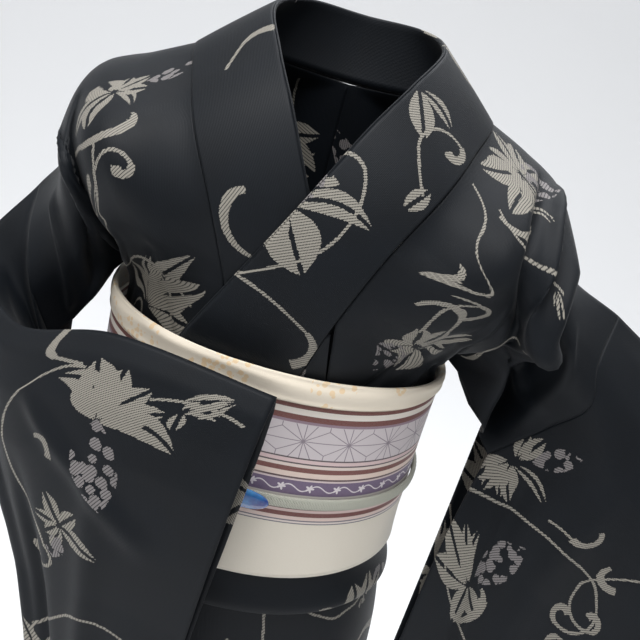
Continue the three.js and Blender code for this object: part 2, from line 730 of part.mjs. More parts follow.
// A lens of glass in front of the cord
function clipPiece() {
  const geometry = new THREE.SphereGeometry(1, 18, 8);
  geometry.scale(CLIP.length / 2, CLIP.depth / 2, CLIP.height / 2);
  const angle = THREE.MathUtils.radToDeg(CLIP.x / BODY_RADIUS);
  const at = figurePoint(angle, CORD.z, CORD.inner + CORD.depth + CLIP.depth / 2 + 0.6);
  geometry.translate(CLIP.x, at.y, CORD.z);
  return geometry;
}

const looks = {
  cloth: { color: 0x14171c, roughness: 0.85, metalness: 0 },
  obi: { color: 0xe6dfcd, roughness: 0.75, metalness: 0 },
  scarf: { color: 0xe9d9c4, roughness: 0.7, metalness: 0 },
  cord: { color: 0xaab3a2, roughness: 0.7, metalness: 0 },
  glass: { color: 0x2f86b8, roughness: 0.12, metalness: 0 },
};

const kimono = new THREE.Group();
function add(name, geometry, look) {
  const mesh = new THREE.Mesh(geometry, new THREE.MeshStandardMaterial(looks[look]));
  mesh.name = name;
  kimono.add(mesh);
}
add("body_left", bodyPanel("left"), "cloth");
add("body_right", bodyPanel("right"), "cloth");
add("overlap_left", overlapPanel("left"), "cloth");
add("overlap_right", overlapPanel("right"), "cloth");
add("sleeve_left", sleeve("left"), "cloth");
add("sleeve_right", sleeve("right"), "cloth");
add("collar", collarPiece(), "cloth");
add("over_collar", overCollarPiece(), "cloth");
add("obi_band", obiBand(), "obi");
add("obi_drum", strip(DRUM, KNOT_WALL, KNOT_WIDTH), "obi");
add("obi_tail", strip(TAIL, KNOT_WALL, KNOT_WIDTH), "obi");
add("scarf", ringAround(scarfSection, 48, 8), "scarf");
add("cord", ringAround(() => CORD, 48, 8), "cord");
add("clip", clipPiece(), "glass");

export default kimono;
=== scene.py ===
"""A worn kimono with its tied obi, empty inside, dressed in woven silk.

Every cloth panel is a thin shell worked out from a few named sizes: the figure's rings, the collar's
two lines, the shoulder and sleeve seams and the stations of each sleeve. The main creases are placed
on each panel. The woven arabesque is laid out on each panel's flat cloth, as distances to
stems, curls and petals that the cloth's finish turns into thread colours.
Sizes are in millimetres until a mesh is made; meshes are in metres. The front faces -Y.
"""

import logging
import math
from dataclasses import dataclass
from enum import Enum
from typing import Callable, Sequence

import bpy
import numpy as np
from mathutils import Matrix, Vector


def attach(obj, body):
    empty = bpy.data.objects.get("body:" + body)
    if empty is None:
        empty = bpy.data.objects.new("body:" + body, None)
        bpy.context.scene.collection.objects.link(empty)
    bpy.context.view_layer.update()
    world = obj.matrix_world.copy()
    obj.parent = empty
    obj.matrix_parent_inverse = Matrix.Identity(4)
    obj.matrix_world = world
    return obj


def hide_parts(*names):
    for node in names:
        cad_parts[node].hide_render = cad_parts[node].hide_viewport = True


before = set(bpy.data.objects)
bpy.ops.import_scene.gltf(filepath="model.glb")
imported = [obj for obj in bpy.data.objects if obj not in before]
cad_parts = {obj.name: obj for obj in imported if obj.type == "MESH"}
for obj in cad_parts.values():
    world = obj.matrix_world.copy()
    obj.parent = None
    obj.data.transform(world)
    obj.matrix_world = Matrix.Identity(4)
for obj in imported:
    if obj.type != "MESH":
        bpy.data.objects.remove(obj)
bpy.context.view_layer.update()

log = logging.getLogger("kimono")
Array = np.ndarray
Socket = bpy.types.NodeSocket
MM = 0.001


# Numbers and curves


def mix(a: Array | float, b: Array | float, t: Array | float) -> Array | float:
    """Returns the value that lies the share t of the way from a to b."""
    return a + (b - a) * t


def smooth(t: Array | float) -> Array:
    """Returns 0 below 0, 1 above 1, and t squared times (3 - 2t) between."""
    c = np.clip(t, 0.0, 1.0)
    return c * c * (3.0 - 2.0 * c)


def bell(t: Array | float) -> Array:
    """Returns the bell e to the minus t squared."""
    return np.exp(-np.square(t))


def unit(v: Array) -> Array:
    """Returns vectors scaled to length one along their last axis."""
    return v / np.maximum(np.linalg.norm(v, axis=-1, keepdims=True), 1e-12)


def powered(v: Array, power: float) -> Array:
    """Returns numbers to a power, with their signs kept."""
    return np.sign(v) * np.abs(v) ** power


def through(points: Array, t: Array) -> Array:
    """Walks a smooth curve through points by their index.

    The curve is a cubic between each two points, whose slopes come from the neighbours weighted by
    the square root of the distances, and the ends are continued straight.

    Args:
        points: The points on the first axis, any axes between, and x, y, z on the last.
        t: Shares from 0, the first point, to 1, the last.

    Returns:
        Array: A point for each share on the first axis.
    """
    p = np.concatenate([2 * points[:1] - points[1:2], points, 2 * points[-1:] - points[-2:-1]])
    spot = np.clip(t, 0, 1) * (len(points) - 1)
    i = np.minimum(spot.astype(int), len(points) - 2)
    w = (spot - i).reshape((-1,) + (1,) * (points.ndim - 1))
    a, b, c, d = p[i], p[i + 1], p[i + 2], p[i + 3]
    spans = (np.linalg.norm(q - r, axis=-1, keepdims=True) for q, r in ((a, b), (b, c), (c, d)))
    gap = [np.maximum(span, 1e-6) ** 0.5 for span in spans]
    m0 = ((b - a) / gap[0] - (c - a) / (gap[0] + gap[1]) + (c - b) / gap[1]) * gap[1]
    m1 = ((c - b) / gap[1] - (d - b) / (gap[1] + gap[2]) + (d - c) / gap[2]) * gap[1]
    w2, w3 = w * w, w * w * w
    return b + m0 * w + (3 * (c - b) - 2 * m0 - m1) * w2 + (2 * (b - c) + m0 + m1) * w3


class Curve:
    """A smooth curve through points, walked by index or by length."""

    def __init__(self, points: Sequence[Sequence[float]]) -> None:
        """Keeps the points and measures the curve at 400 places."""
        self.points = np.asarray(points, float)
        self._t = np.linspace(0, 1, 401)
        steps = np.linalg.norm(np.diff(self.index(self._t), axis=0), axis=1)
        self._length = np.concatenate([[0], np.cumsum(steps)])

    def index(self, t: Array) -> Array:
        """Returns points at shares of the point count."""
        shape = np.shape(t)
        return through(self.points, np.ravel(t)).reshape(shape + (self.points.shape[1],))

    def length(self, t: Array) -> Array:
        """Returns points at shares of the curve's length."""
        return self.index(np.interp(np.clip(t, 0, 1) * self._length[-1], self._length, self._t))


def column(rows: Sequence[dict], key: str, by: str, at: Array) -> Array:
    """Reads a table's column straight between its rows.

    Args:
        rows: The table, in order of the column it is read by.
        key: The column that is read.
        by: The column that gives each row's place.
        at: Where to read.

    Returns:
        Array: The values.
    """
    return np.interp(at, [r[by] for r in rows], [r[key] for r in rows])


# The figure that the cloth goes round, and the heights


OBI_TOP, OBI_HEIGHT = -250.0, 155.0
OBI_BOTTOM = OBI_TOP - OBI_HEIGHT
TUCK = OBI_TOP - 7.0
HEM = -1340.0
CLOTH = 1.0


@dataclass(frozen=True)
class Figure:
    """The rings that the wrapped cloth goes round."""

    rows: tuple = (
        (-150, 128, 104, 84),
        (-250, 122, 103, 86),
        (-330, 121, 102, 87),
        (-405, 124, 103, 93),
        (-440, 134, 105, 101),
        (-490, 143, 108, 112),
        (-560, 147, 111, 122),
        (-650, 148, 112, 125),
        (-780, 147, 111, 120),
        (-960, 145, 109, 113),
        (-1150, 143, 107, 109),
        (-1340, 142, 106, 107),
    )
    power: float = 2.1
    spiral: float = 7.0
    outer_edge: float = -80.0
    inner_edge: float = 422.0

    def _read(self, which: int, z: Array) -> Array:
        """Reads a column as a cubic through its rows, with slopes from the rows on either side."""
        table = np.array(self.rows, float)
        zs, val = table[:, 0], table[:, which]
        row = np.arange(len(zs))
        lo, hi = np.maximum(row - 1, 0), np.minimum(row + 1, len(zs) - 1)
        slope = (val[hi] - val[lo]) / (zs[hi] - zs[lo])
        i = np.clip(np.searchsorted(-zs, -z, side="right") - 1, 0, len(zs) - 2)
        span = zs[i + 1] - zs[i]
        t = np.clip((z - zs[i]) / span, 0, 1)
        t2, t3 = t * t, t * t * t
        return (
            (2 * t3 - 3 * t2 + 1) * val[i]
            + (t3 - 2 * t2 + t) * span * slope[i]
            + (3 * t2 - 2 * t3) * val[i + 1]
            + (t3 - t2) * span * slope[i + 1]
        )

    def point(self, angle: Array, z: Array, out: Array | float) -> Array:
        """Returns points of the ring at a height, as a rounded oval.

        x is the sine of the angle to the power 2 / power times the half width, and y the same of the
        cosine times the depth in front or behind, both moved out.

        Args:
            angle: Degrees, 0 at the front and 90 at the wearer's left.
            z: Heights.
            out: How far outside the figure.

        Returns:
            Array: Points.
        """
        angle, z, out = np.broadcast_arrays(angle, z, out)
        turn = np.radians(angle)
        sine, cosine = (powered(part, 2 / self.power) for part in (np.sin(turn), np.cos(turn)))
        depth = np.where(cosine > 0, self._read(2, z), self._read(3, z)) + out
        return np.stack([sine * (self._read(1, z) + out), -cosine * depth, z], axis=-1)

    def wrap_out(self, angle: Array) -> Array:
        """Returns how far out the spiral of the wrapped skirt lies, from its outer to its inner edge."""
        return self.spiral * (1 - (angle - self.outer_edge) / (self.inner_edge - self.outer_edge))


FIGURE = Figure()


def side_rise(angle: Array, z: Array) -> Array:
    """Returns how much higher the obi's foot and the fold under it lie at the sides."""
    return 9 * np.sin(np.radians(angle)) ** 2 * smooth((-z - 330) / 60) * smooth((z + 520) / 60)


class Side(Enum):
    """Which half of the garment, as its wearer names it."""

    LEFT = 1
    RIGHT = -1

    @property
    def word(self) -> str:
        """The half's name in piece names."""
        return self.name.lower()


# The collar's two lines


COLLAR_ROWS = (
    {"name": "nape", "edge": (0, 94, 6), "seam": (0, 84, -50), "bow": 2},
    {"name": "behind the ear", "edge": (46, 74, 8), "seam": (72, 60, -44), "bow": 2},
    {"name": "neck side", "edge": (65, 14, 2), "seam": (114, 6, -39), "bow": 1},
    {"name": "collarbone", "edge": (48, -48, -22), "seam": (105, -48, -57), "bow": 1},
    {"name": "upper chest", "edge": (27, -84, -52), "seam": (89, -90, -84), "bow": 2},
    {"name": "crossing", "edge": (-2, -110, -106), "seam": (63, -114, -128), "bow": 3},
    {"name": "below the bust", "edge": (-31, -114, -161), "seam": (41, -119, -182), "bow": 4},
    {"name": "above the obi", "edge": (-62, -103, -222), "seam": (27, -113, -230), "bow": 5},
    {"name": "behind the obi", "edge": (-76, -93, -255), "seam": (23, -110, -255), "bow": 5},
)
NECK_ROW, TIP_ROW, LAST_ROW = 2, 6, 8


def collar_line(side: Side, part: str) -> Callable[[Array], Array]:
    """Returns a collar half's edge or seam as a function of the row, counted from the nape.

    The left half lies a little further out than the table, the right half further in, and more so
    behind the obi.

    Args:
        side: The half.
        part: "edge" or "seam".

    Returns:
        Callable: A function from rows to points.
    """
    pts = np.array([row[part] for row in COLLAR_ROWS], float)
    pts[:, 0] *= side.value
    lap = 2.6 * smooth((-pts[:, 2] - 40) / 60) * (pts[:, 1] < 0)
    pts[:, 1] -= side.value * lap
    if side is Side.RIGHT:
        pts[:, 1] += 8 * smooth((-pts[:, 2] - 115) / 85)
    before = np.array([COLLAR_ROWS[1][part]], float) * [-side.value, 1, 1]
    curve = Curve(np.concatenate([before, pts]))
    return lambda row: curve.index((np.asarray(row, float) + 1) / len(COLLAR_ROWS))


# Creases and cloth


@dataclass(frozen=True)
class Crease:
    """A soft ridge or trough along a bent line of a panel, in shares of its width and length."""

    start: tuple[float, float]
    end: tuple[float, float]
    width: float
    lift: float
    bend: float = 0.0

    def height(self, a: Array, b: Array, size: tuple[float, float]) -> Array:
        """Returns the height at places of the panel: a bell across the line, fading at its ends.

        Args:
            a: Shares of the width.
            b: Shares of the length.
            size: The panel's width and length, in millimetres.

        Returns:
            Array: Heights in millimetres.
        """
        p = np.array(self.start) * size
        q = np.array(self.end) * size
        along = (q - p) / np.linalg.norm(q - p)
        x, y = a * size[0] - p[0], b * size[1] - p[1]
        t = (x * along[0] + y * along[1]) / np.linalg.norm(q - p)
        off = x * along[1] - y * along[0] + self.bend * np.sin(np.pi * np.clip(t, 0, 1))
        ends = smooth((t + 0.15) / 0.3) * smooth((1.15 - t) / 0.3)
        return self.lift * ends * bell(off / (self.width * mix(0.7, 1.2, np.clip(t, 0, 1))))


def normals(grid: Array) -> Array:
    """Returns the unit normals of a grid of points, from the cross product of its two slopes."""
    return unit(np.cross(np.gradient(grid, axis=1), np.gradient(grid, axis=0)))


def creased(
    grid: Array,
    creases: Sequence[Crease],
    size: tuple[float, float],
    sign: float,
    hold: Array | float = 1.0,
) -> Array:
    """Moves a grid along its normals by its creases.

    Args:
        grid: Points in rows and columns.
        creases: The creases, in shares of the columns and rows.
        size: The panel's width and length.
        sign: 1 where the grid's normals face outwards, else -1.
        hold: A factor, 0 where the cloth is held.

    Returns:
        Array: The moved points.
    """
    rows, cols = grid.shape[:2]
    a, b = np.meshgrid(np.linspace(0, 1, cols), np.linspace(0, 1, rows))
    lift = sum((c.height(a, b, size) for c in creases), np.zeros_like(a))
    return grid + normals(grid) * (sign * lift * hold)[..., None]


def running(grid: Array, axis: int) -> Array:
    """Returns the length walked along an axis of a grid of points, from its first point."""
    steps = np.linalg.norm(np.diff(grid, axis=axis), axis=-1)
    pad = [(1, 0) if k == axis else (0, 0) for k in (0, 1)]
    return np.cumsum(np.pad(steps, pad), axis=axis)


@dataclass
class Patch:
    """A grid of points with its place on the flat cloth."""

    grid: Array
    u: Array
    v: Array
    flip: bool = False

    def faces(self) -> Array:
        """Returns the quads of the grid, by corner index."""
        rows, cols = self.grid.shape[:2]
        i = np.arange(rows * cols).reshape(rows, cols)
        quads = np.stack([i[:-1, :-1], i[1:, :-1], i[1:, 1:], i[:-1, 1:]], axis=-1).reshape(-1, 4)
        return quads[:, ::-1] if self.flip else quads


class Cloth:
    """A named piece made of patches that are sewn together where their points meet."""

    def __init__(self, name: str, patches: Sequence[Patch]) -> None:
        """Joins the patches' points, flat places and quads.

        Args:
            name: The piece's name.
            patches: Its grids.
        """
        self.name = name
        starts = np.cumsum([0] + [p.grid.shape[0] * p.grid.shape[1] for p in patches])
        points = np.concatenate([p.grid.reshape(-1, 3) for p in patches])
        quads = np.concatenate([p.faces() + s for p, s in zip(patches, starts)])
        self.u = np.concatenate([p.u.ravel() for p in patches])
        self.v = np.concatenate([p.v.ravel() for p in patches])
        key = np.round(points * 25).astype(np.int64)
        _, first, same = np.unique(key, axis=0, return_index=True, return_inverse=True)
        same = same.ravel()
        self.corner = quads
        faces = same[quads]
        order, back = np.unique(faces, return_inverse=True)
        self.points = points[first][order]
        self.faces = back.reshape(faces.shape)
        a, b, c, d = (self.points[self.faces[:, k]] for k in range(4))
        self.area = float(np.linalg.norm(np.cross(c - a, d - b), axis=1).sum() / 2e6)

    def shape(self) -> bpy.types.Object:
        """Makes the mesh, with a UV map of the flat cloth in metres.

        Returns:
            bpy.types.Object: The object, at the origin.
        """
        mesh = bpy.data.meshes.new(self.name)
        loops = self.faces
        same = (loops == np.roll(loops, 1, axis=1)).any(axis=1)
        loops, corner = loops[~same], self.corner[~same]
        mesh.vertices.add(len(self.points))
        mesh.vertices.foreach_set("co", (self.points * MM).ravel())
        mesh.loops.add(loops.size)
        mesh.loops.foreach_set("vertex_index", loops.ravel())
        mesh.polygons.add(len(loops))
        mesh.polygons.foreach_set("loop_start", np.arange(len(loops)) * 4)
        mesh.polygons.foreach_set("loop_total", np.full(len(loops), 4))
        mesh.update(calc_edges=True)
        uv = mesh.uv_layers.new(name="flat")
        place = np.stack([self.u[corner], self.v[corner]], axis=-1) * MM
        uv.data.foreach_set("uv", place.ravel())
        mesh.shade_smooth()
        obj = bpy.data.objects.new(self.name, mesh)
        bpy.context.scene.collection.objects.link(obj)
        return obj


def thick(obj: bpy.types.Object, wall: float) -> None:
    """Gives a sheet its wall, outside the sheet.

    Args:
        obj: The sheet.
        wall: Thickness in millimetres.
    """
    solid = obj.modifiers.new("wall", "SOLIDIFY")
    solid.thickness = wall * MM
    solid.offset = 1.0
    solid.use_quality_normals = True


# Body panels above and below the belt


# From the neck point over the shoulder to the top of the sleeve seam
SHOULDERS = {
    Side.LEFT: (
        (114, 6, -39),
        (150, 4, -55),
        (180, 3, -73),
        (196, 1, -106),
        (208, 0, -134),
        (259, 0, -158),
    ),
    Side.RIGHT: (
        (-114, 6, -39),
        (-150, 4, -57),
        (-184, 3, -74),
        (-198, 1, -108),
        (-196, 0, -146),
        (-216, -4, -180),
    ),
}


@dataclass
class BodyPanel:
    """One half of the body: the front, over the shoulder, and the back, down to the hem."""

    side: Side
    share: float = 0.66
    inner_columns: int = 74
    outer_columns: int = 34
    loose_edge: tuple = (
        {"t": 0, "z": 30},
        {"t": 0.15, "z": 34},
        {"t": 0.3, "z": 33},
        {"t": 0.45, "z": 22},
        {"t": 0.7, "z": 8},
        {"t": 1, "z": 0},
    )

    def belt_angles(self, front: bool) -> tuple[float, float]:
        """Returns the angles of the panel's inner and side edges where it meets the belt."""
        inner, side = (21.0, 88.0) if front else (180.0, 88.0)
        return (inner, side) if self.side is Side.LEFT else (360 - inner, 360 - side)

    def low_angles(self, front: bool) -> tuple[float, float]:
        """Returns the angles of the panel's inner and side edges in the skirt."""
        if self.side is Side.LEFT:
            return (-12.0, 95.0) if front else (180.0, 95.0)
        return (366.0, 265.0) if front else (180.0, 265.0)

    def bodice(self, front: bool, s: Array, v: Array) -> Array:
        """Works out the cloth above the belt.

        It is the surface between the shoulder, the belt line, the inner edge and the sleeve seam, each
        point being the mean course of the two pairs less their corners. The plan runs ahead of the
        height near the belt, so that the cloth goes down behind the scarf. The chest is pushed forward
        by a quarter ellipse, and the large folds beside the arm are bells.

        Args:
            front: Whether it is the front.
            s: Shares across, 0 at the inner edge and 1 at the sleeve seam.
            v: Shares down, 0 at the shoulder and 1 at the belt.

        Returns:
            Array: Points, a row for each v and a column for each s.
        """
        sign = self.side.value
        top_curve = Curve(SHOULDERS[self.side])
        seam_curve = Curve(SLEEVE_SEAM[self.side][front])
        inner_angle, side_angle = self.belt_angles(front)
        end = seam_curve.length(np.array(1.0))
        seam_line = collar_line(self.side, "seam")
        bend, bend_row = (0.66, TIP_ROW) if front else (0.3, 0)

        def belt(x: Array) -> Array:
            angle = mix(inner_angle, side_angle, np.clip(x / self.share, 0, 1))
            at = FIGURE.point(angle, np.full_like(angle, TUCK), belt_out(angle))
            t = np.clip((x - self.share) / (1 - self.share), 0, 1)
            lift = column(self.loose_edge, "z", "t", t) * (1 if self.side is Side.LEFT else 1.4)
            level = mix(TUCK, end[2], t) + lift * smooth((x - self.share + 0.1) / 0.1)
            out = mix(at, end, t[..., None])
            out[..., 2] = level
            return out

        first = belt(np.array([0.0]))[0]
        turn = seam_line(np.array([bend_row]))[0]

        def inner(y: Array) -> Array:
            upper = seam_line(mix(NECK_ROW, bend_row, np.clip(y / bend, 0, 1)))
            lower = mix(turn, first, np.clip((y - bend) / (1 - bend), 0, 1)[..., None])
            return np.where((y < bend)[..., None], upper, lower)

        corner = [top_curve.length(np.array(0.0)), top_curve.length(np.array(1.0)), first, end]

        def at(x: Array, y: Array) -> Array:
            X, Y = x[..., None], y[..., None]
            along = top_curve.length(x) * (1 - Y) + belt(x) * Y
            across = inner(y) * (1 - X) + seam_curve.length(y) * X
            mean = (
                corner[0] * (1 - X) * (1 - Y)
                + corner[1] * X * (1 - Y)
                + corner[2] * (1 - X) * Y
                + corner[3] * X * Y
            )
            return along + across - mean

        S, V = np.meshgrid(s, v)
        tucked = smooth(S / 0.15) * smooth((self.share + 0.1 - S) / 0.1)
        course = V + (1 - V) * smooth((V - 0.52) / 0.34) * tucked
        out = at(S, course)
        out[..., 2] = at(S, V)[..., 2]
        edge = smooth(S / 0.32) * smooth((1 - S) / 0.45)
        round_ = np.sqrt(np.clip(1 - (1 - np.minimum(1, V / 0.45)) ** 2, 0, 1)) * smooth((0.9 - V) / 0.66)
        away = -1 if front else 1
        out[..., 1] += away * (46 if front else 34) * edge * round_
        if front:
            for fold in BODICE_FOLDS[self.side]:
                line = mix(fold["from"], fold["to"], V)
                ends = smooth((V - fold["start"]) / 0.25) * smooth((fold["end"] - V) / 0.2)
                h = ends * bell((S - line) / fold["width"])
                h *= np.minimum(1, V / 0.15)
                h *= np.minimum(1, (1 - S) / 0.1)
                h *= np.where(S < self.share, smooth((1 - V) / 0.25), 1)
                out[..., 1] += away * fold["lift"] * h
                out[..., 0] += sign * fold["across"] * h
        return out

    def patches(self) -> list[Patch]:
        """Returns the front and back patches, above and below the belt, with their flat places."""
        out = []
        over_body = np.linspace(0, self.share, self.inner_columns)
        beside_arm = np.linspace(self.share, 1, self.outer_columns)[1:]
        s = np.concatenate([over_body, beside_arm])
        inside = self.inner_columns
        for front in (True, False):
            v = np.linspace(0, 1, 96 if front else 64)
            grid = self.bodice(front, s, v)
            face = BODY_CREASES[(self.side, front)]
            outward = 1.0 if (self.side is Side.LEFT) == front else -1.0
            grid = creased(grid, face, (300, 260), outward, self._hold(s, v))
            across = running(grid, 1)
            u = across - across[:, -1:]
            down = running(grid, 0)
            flip = (self.side is Side.LEFT) != front
            way = 1 if front else -1
            out.append(Patch(grid, u * self.side.value, way * down, flip=flip))
            starts = mix(*self.belt_angles(front), s[:inside] / self.share)
            ends = mix(*self.low_angles(front), s[:inside] / self.share)
            low = wrap_grid(starts, ends, SKIRT_CREASES[(self.side, front)], outward)
            low[0] = grid[-1, :inside]
            u_low = running(low, 1)
            u_low = u_low - u_low[:, -1:] + u[-1, inside - 1]
            v_low = running(low, 0) + down[-1, :inside]
            out.append(Patch(low, u_low * self.side.value, way * v_low, flip=flip))
        return out

    @staticmethod
    def _hold(s: Array, v: Array) -> Array:
        """Returns the factor that keeps creases off the panel's seams."""
        S, V = np.meshgrid(s, v)
        return smooth(S / 0.05) * smooth((1 - S) / 0.05) * smooth(V / 0.06) * smooth((1 - V) / 0.1)


SLEEVE_SEAM = {
    Side.LEFT: {
        True: ((259, 0, -158), (248, -34, -190), (253, -40, -222), (233, -24, -256), (192, -30, -292)),
        False: ((259, 0, -158), (254, 34, -190), (240, 48, -238), (192, 34, -296)),
    },
    Side.RIGHT: {
        True: ((-216, -4, -180), (-206, -44, -210), (-196, -52, -246), (-178, -40, -292)),
        False: ((-216, -4, -180), (-220, 34, -214), (-208, 46, -256), (-180, 30, -298)),
    },
}

BODICE_FOLDS = {
    Side.LEFT: (
        {"from": 0.44, "to": 0.86, "width": 0.07, "lift": 26, "across": 12, "start": -0.1, "end": 1.2},
        {"from": 0.62, "to": 0.95, "width": 0.08, "lift": -30, "across": -4, "start": 0.05, "end": 1.1},
        {"from": 0.3, "to": 0.52, "width": 0.06, "lift": -5, "across": 0, "start": 0.3, "end": 1.1},
    ),
    Side.RIGHT: (
        {"from": 0.4, "to": 0.62, "width": 0.05, "lift": -21, "across": 6, "start": 0.0, "end": 1.05},
        {"from": 0.66, "to": 0.8, "width": 0.09, "lift": 24, "across": -4, "start": -0.1, "end": 1.2},
        {"from": 0.2, "to": 0.4, "width": 0.06, "lift": -4, "across": 0, "start": 0.4, "end": 1.1},
    ),
}

BODY_CREASES = {
    (Side.LEFT, True): (
        Crease((0.08, 0.95), (0.42, 0.55), 7, 3.0, 6),
        Crease((0.2, 1.0), (0.5, 0.7), 6, -2.6, 5),
        Crease((0.3, 0.3), (0.62, 0.75), 12, 2.4, -10),
        Crease((0.27, 0.06), (0.55, 0.48), 7, 9.0, 16),
        Crease((0.33, 0.04), (0.66, 0.46), 8, -11.0, 16),
        Crease((0.5, 0.42), (0.86, 0.78), 8, 8.0, 4),
        Crease((0.62, 0.42), (0.9, 0.7), 7, -8.0, 2),
        Crease((0.5, 0.6), (0.7, 1.0), 9, 6.0, -6),
        Crease((0.42, 0.45), (0.6, 0.98), 7, -4.0, 5),
        Crease((0.75, 0.2), (0.92, 0.9), 8, 7.0, 6),
        Crease((0.86, 0.25), (0.97, 0.8), 5, -4.0, 3),
    ),
    (Side.RIGHT, True): (
        Crease((0.1, 0.98), (0.3, 0.6), 8, 2.6, 5),
        Crease((0.45, 0.6), (0.6, 1.0), 6, -3.4, 4),
        Crease((0.55, 0.3), (0.68, 1.0), 6, 5.0, 5),
        Crease((0.64, 0.2), (0.76, 1.0), 5, -7.0, 5),
        Crease((0.75, 0.1), (0.82, 0.95), 7, 8.0, 5),
        Crease((0.86, 0.3), (0.9, 0.95), 5, -5.0, 3),
    ),
    (Side.LEFT, False): (
        Crease((0.35, 0.5), (0.6, 1.0), 10, 3.0, 8),
        Crease((0.75, 0.2), (0.7, 0.95), 9, -6.0, 6),
        Crease((0.55, 0.25), (0.62, 0.9), 8, 5.0, -8),
        Crease((0.85, 0.2), (0.88, 0.9), 7, 5.0, 4),
    ),
    (Side.RIGHT, False): (
        Crease((0.4, 0.45), (0.62, 1.0), 9, 3.4, 8),
        Crease((0.72, 0.25), (0.72, 0.95), 9, -6.2, 6),
        Crease((0.2, 0.5), (0.35, 0.95), 11, 2.0, 5),
        Crease((0.84, 0.3), (0.86, 0.95), 7, 5.4, 4),
    ),
}

SKIRT_CREASES = {
    (Side.LEFT, True): (
        Crease((0.5, 0.12), (0.42, 0.9), 16, 2.2, 12),
        Crease((0.8, 0.14), (0.86, 1.0), 20, -2.4, -10),
        Crease((0.2, 0.16), (0.1, 0.7), 12, 1.8, 8),
    ),
    (Side.LEFT, False): (
        Crease((0.3, 0.15), (0.36, 0.85), 18, 2.4, -12),
        Crease((0.7, 0.14), (0.62, 0.95), 16, -2.0, 10),
    ),
    (Side.RIGHT, True): (Crease((0.6, 0.2), (0.5, 0.9), 16, -1.6, 8),),
    (Side.RIGHT, False): (
        Crease((0.35, 0.15), (0.3, 0.8), 17, 2.2, 10),
        Crease((0.75, 0.16), (0.8, 0.95), 16, 2.0, -8),
    ),
}


def under(angle: Array) -> Array:
    """Returns 1 for the layer of the wrap that lies beneath, whose tuck is laid flat."""
    return smooth((angle - 266) / 12)


def belt_out(angle: Array) -> Array:
    """Returns how far out the bodice lies where it meets the belt line."""
    return FIGURE.wrap_out(angle) + mix(3.6, 1.2, under(angle))


WAIST_ROWS = (
    (TUCK, 3.6),
    (-300, 3.6),
    (-350, 3.6),
    (-392, 3.6),
    (-418, 6.0),
    (-436, 8.4),
    (-441, 6.8),
    (-438, 4.5),
    (-413, 3.2),
    (-408, 1.9),
    (-412, 0.6),
    (-452, 0.0),
)
FOLD_START = 3


def wrap_grid(above: Array, below: Array, creases: Sequence[Crease], outward: float) -> Array:
    """Works out a panel's rings from the belt line to the hem.

    Each row has a height and a distance out from a profile that doubles back for the tuck under the
    obi. Each column's angle goes over from its place at the belt to its place in the skirt while it
    is behind the obi. The hem rises at the wrap's two front corners.

    Args:
        above: Angles of the columns at the belt.
        below: Their angles in the skirt.
        creases: The skirt's creases, in shares of this grid.
        outward: 1 where the grid's normals face outwards, else -1.

    Returns:
        Array: Points in rows and columns.
    """
    profile = np.array(WAIST_ROWS, float)
    tucked = np.linspace(FOLD_START, len(profile) - 1, 60)[1:]
    fine = np.concatenate([np.linspace(0, FOLD_START, 14), tucked])
    pos = through(profile, fine / (len(profile) - 1))
    level, out = pos[:, :1], pos[:, 1:]
    down = np.clip((fine - FOLD_START) / (len(profile) - 1 - FOLD_START), 0, 1)
    plain = mix(-392, -452, down)[:, None]
    turn = smooth((level - OBI_BOTTOM) / (TUCK - OBI_BOTTOM))
    angle = mix(below[None, :], above[None, :], turn)
    flat = under(angle)
    z = np.where(fine[:, None] > FOLD_START, mix(level, plain, flat), level)
    away = mix(out, 1.2 * smooth((z + 390) / 100), flat)
    waist = FIGURE.point(angle, z + side_rise(angle, z), FIGURE.wrap_out(angle) + away)
    first = profile[-1, 0]
    heights = mix(first, HEM, np.linspace(0, 1, 130)[1:])[:, None]
    raise_ = 42 * (smooth(1 - (below + 80) / 75) + 1.4 * smooth(1 - (422 - below) / 75))
    share = ((first - heights) / (first - HEM)) ** 2
    wide = np.broadcast_to(below[None, :], (len(heights), len(below)))
    skirt = FIGURE.point(wide, heights + side_rise(wide, heights) + raise_ * share, FIGURE.wrap_out(wide))
    grid = np.concatenate([waist, skirt])
    rows = len(grid)
    b = np.linspace(0, 1, rows)[:, None]
    hold = smooth((b - 0.4) / 0.1) * np.ones((1, grid.shape[1]))
    return creased(grid, creases, (280, 1000), outward, hold)


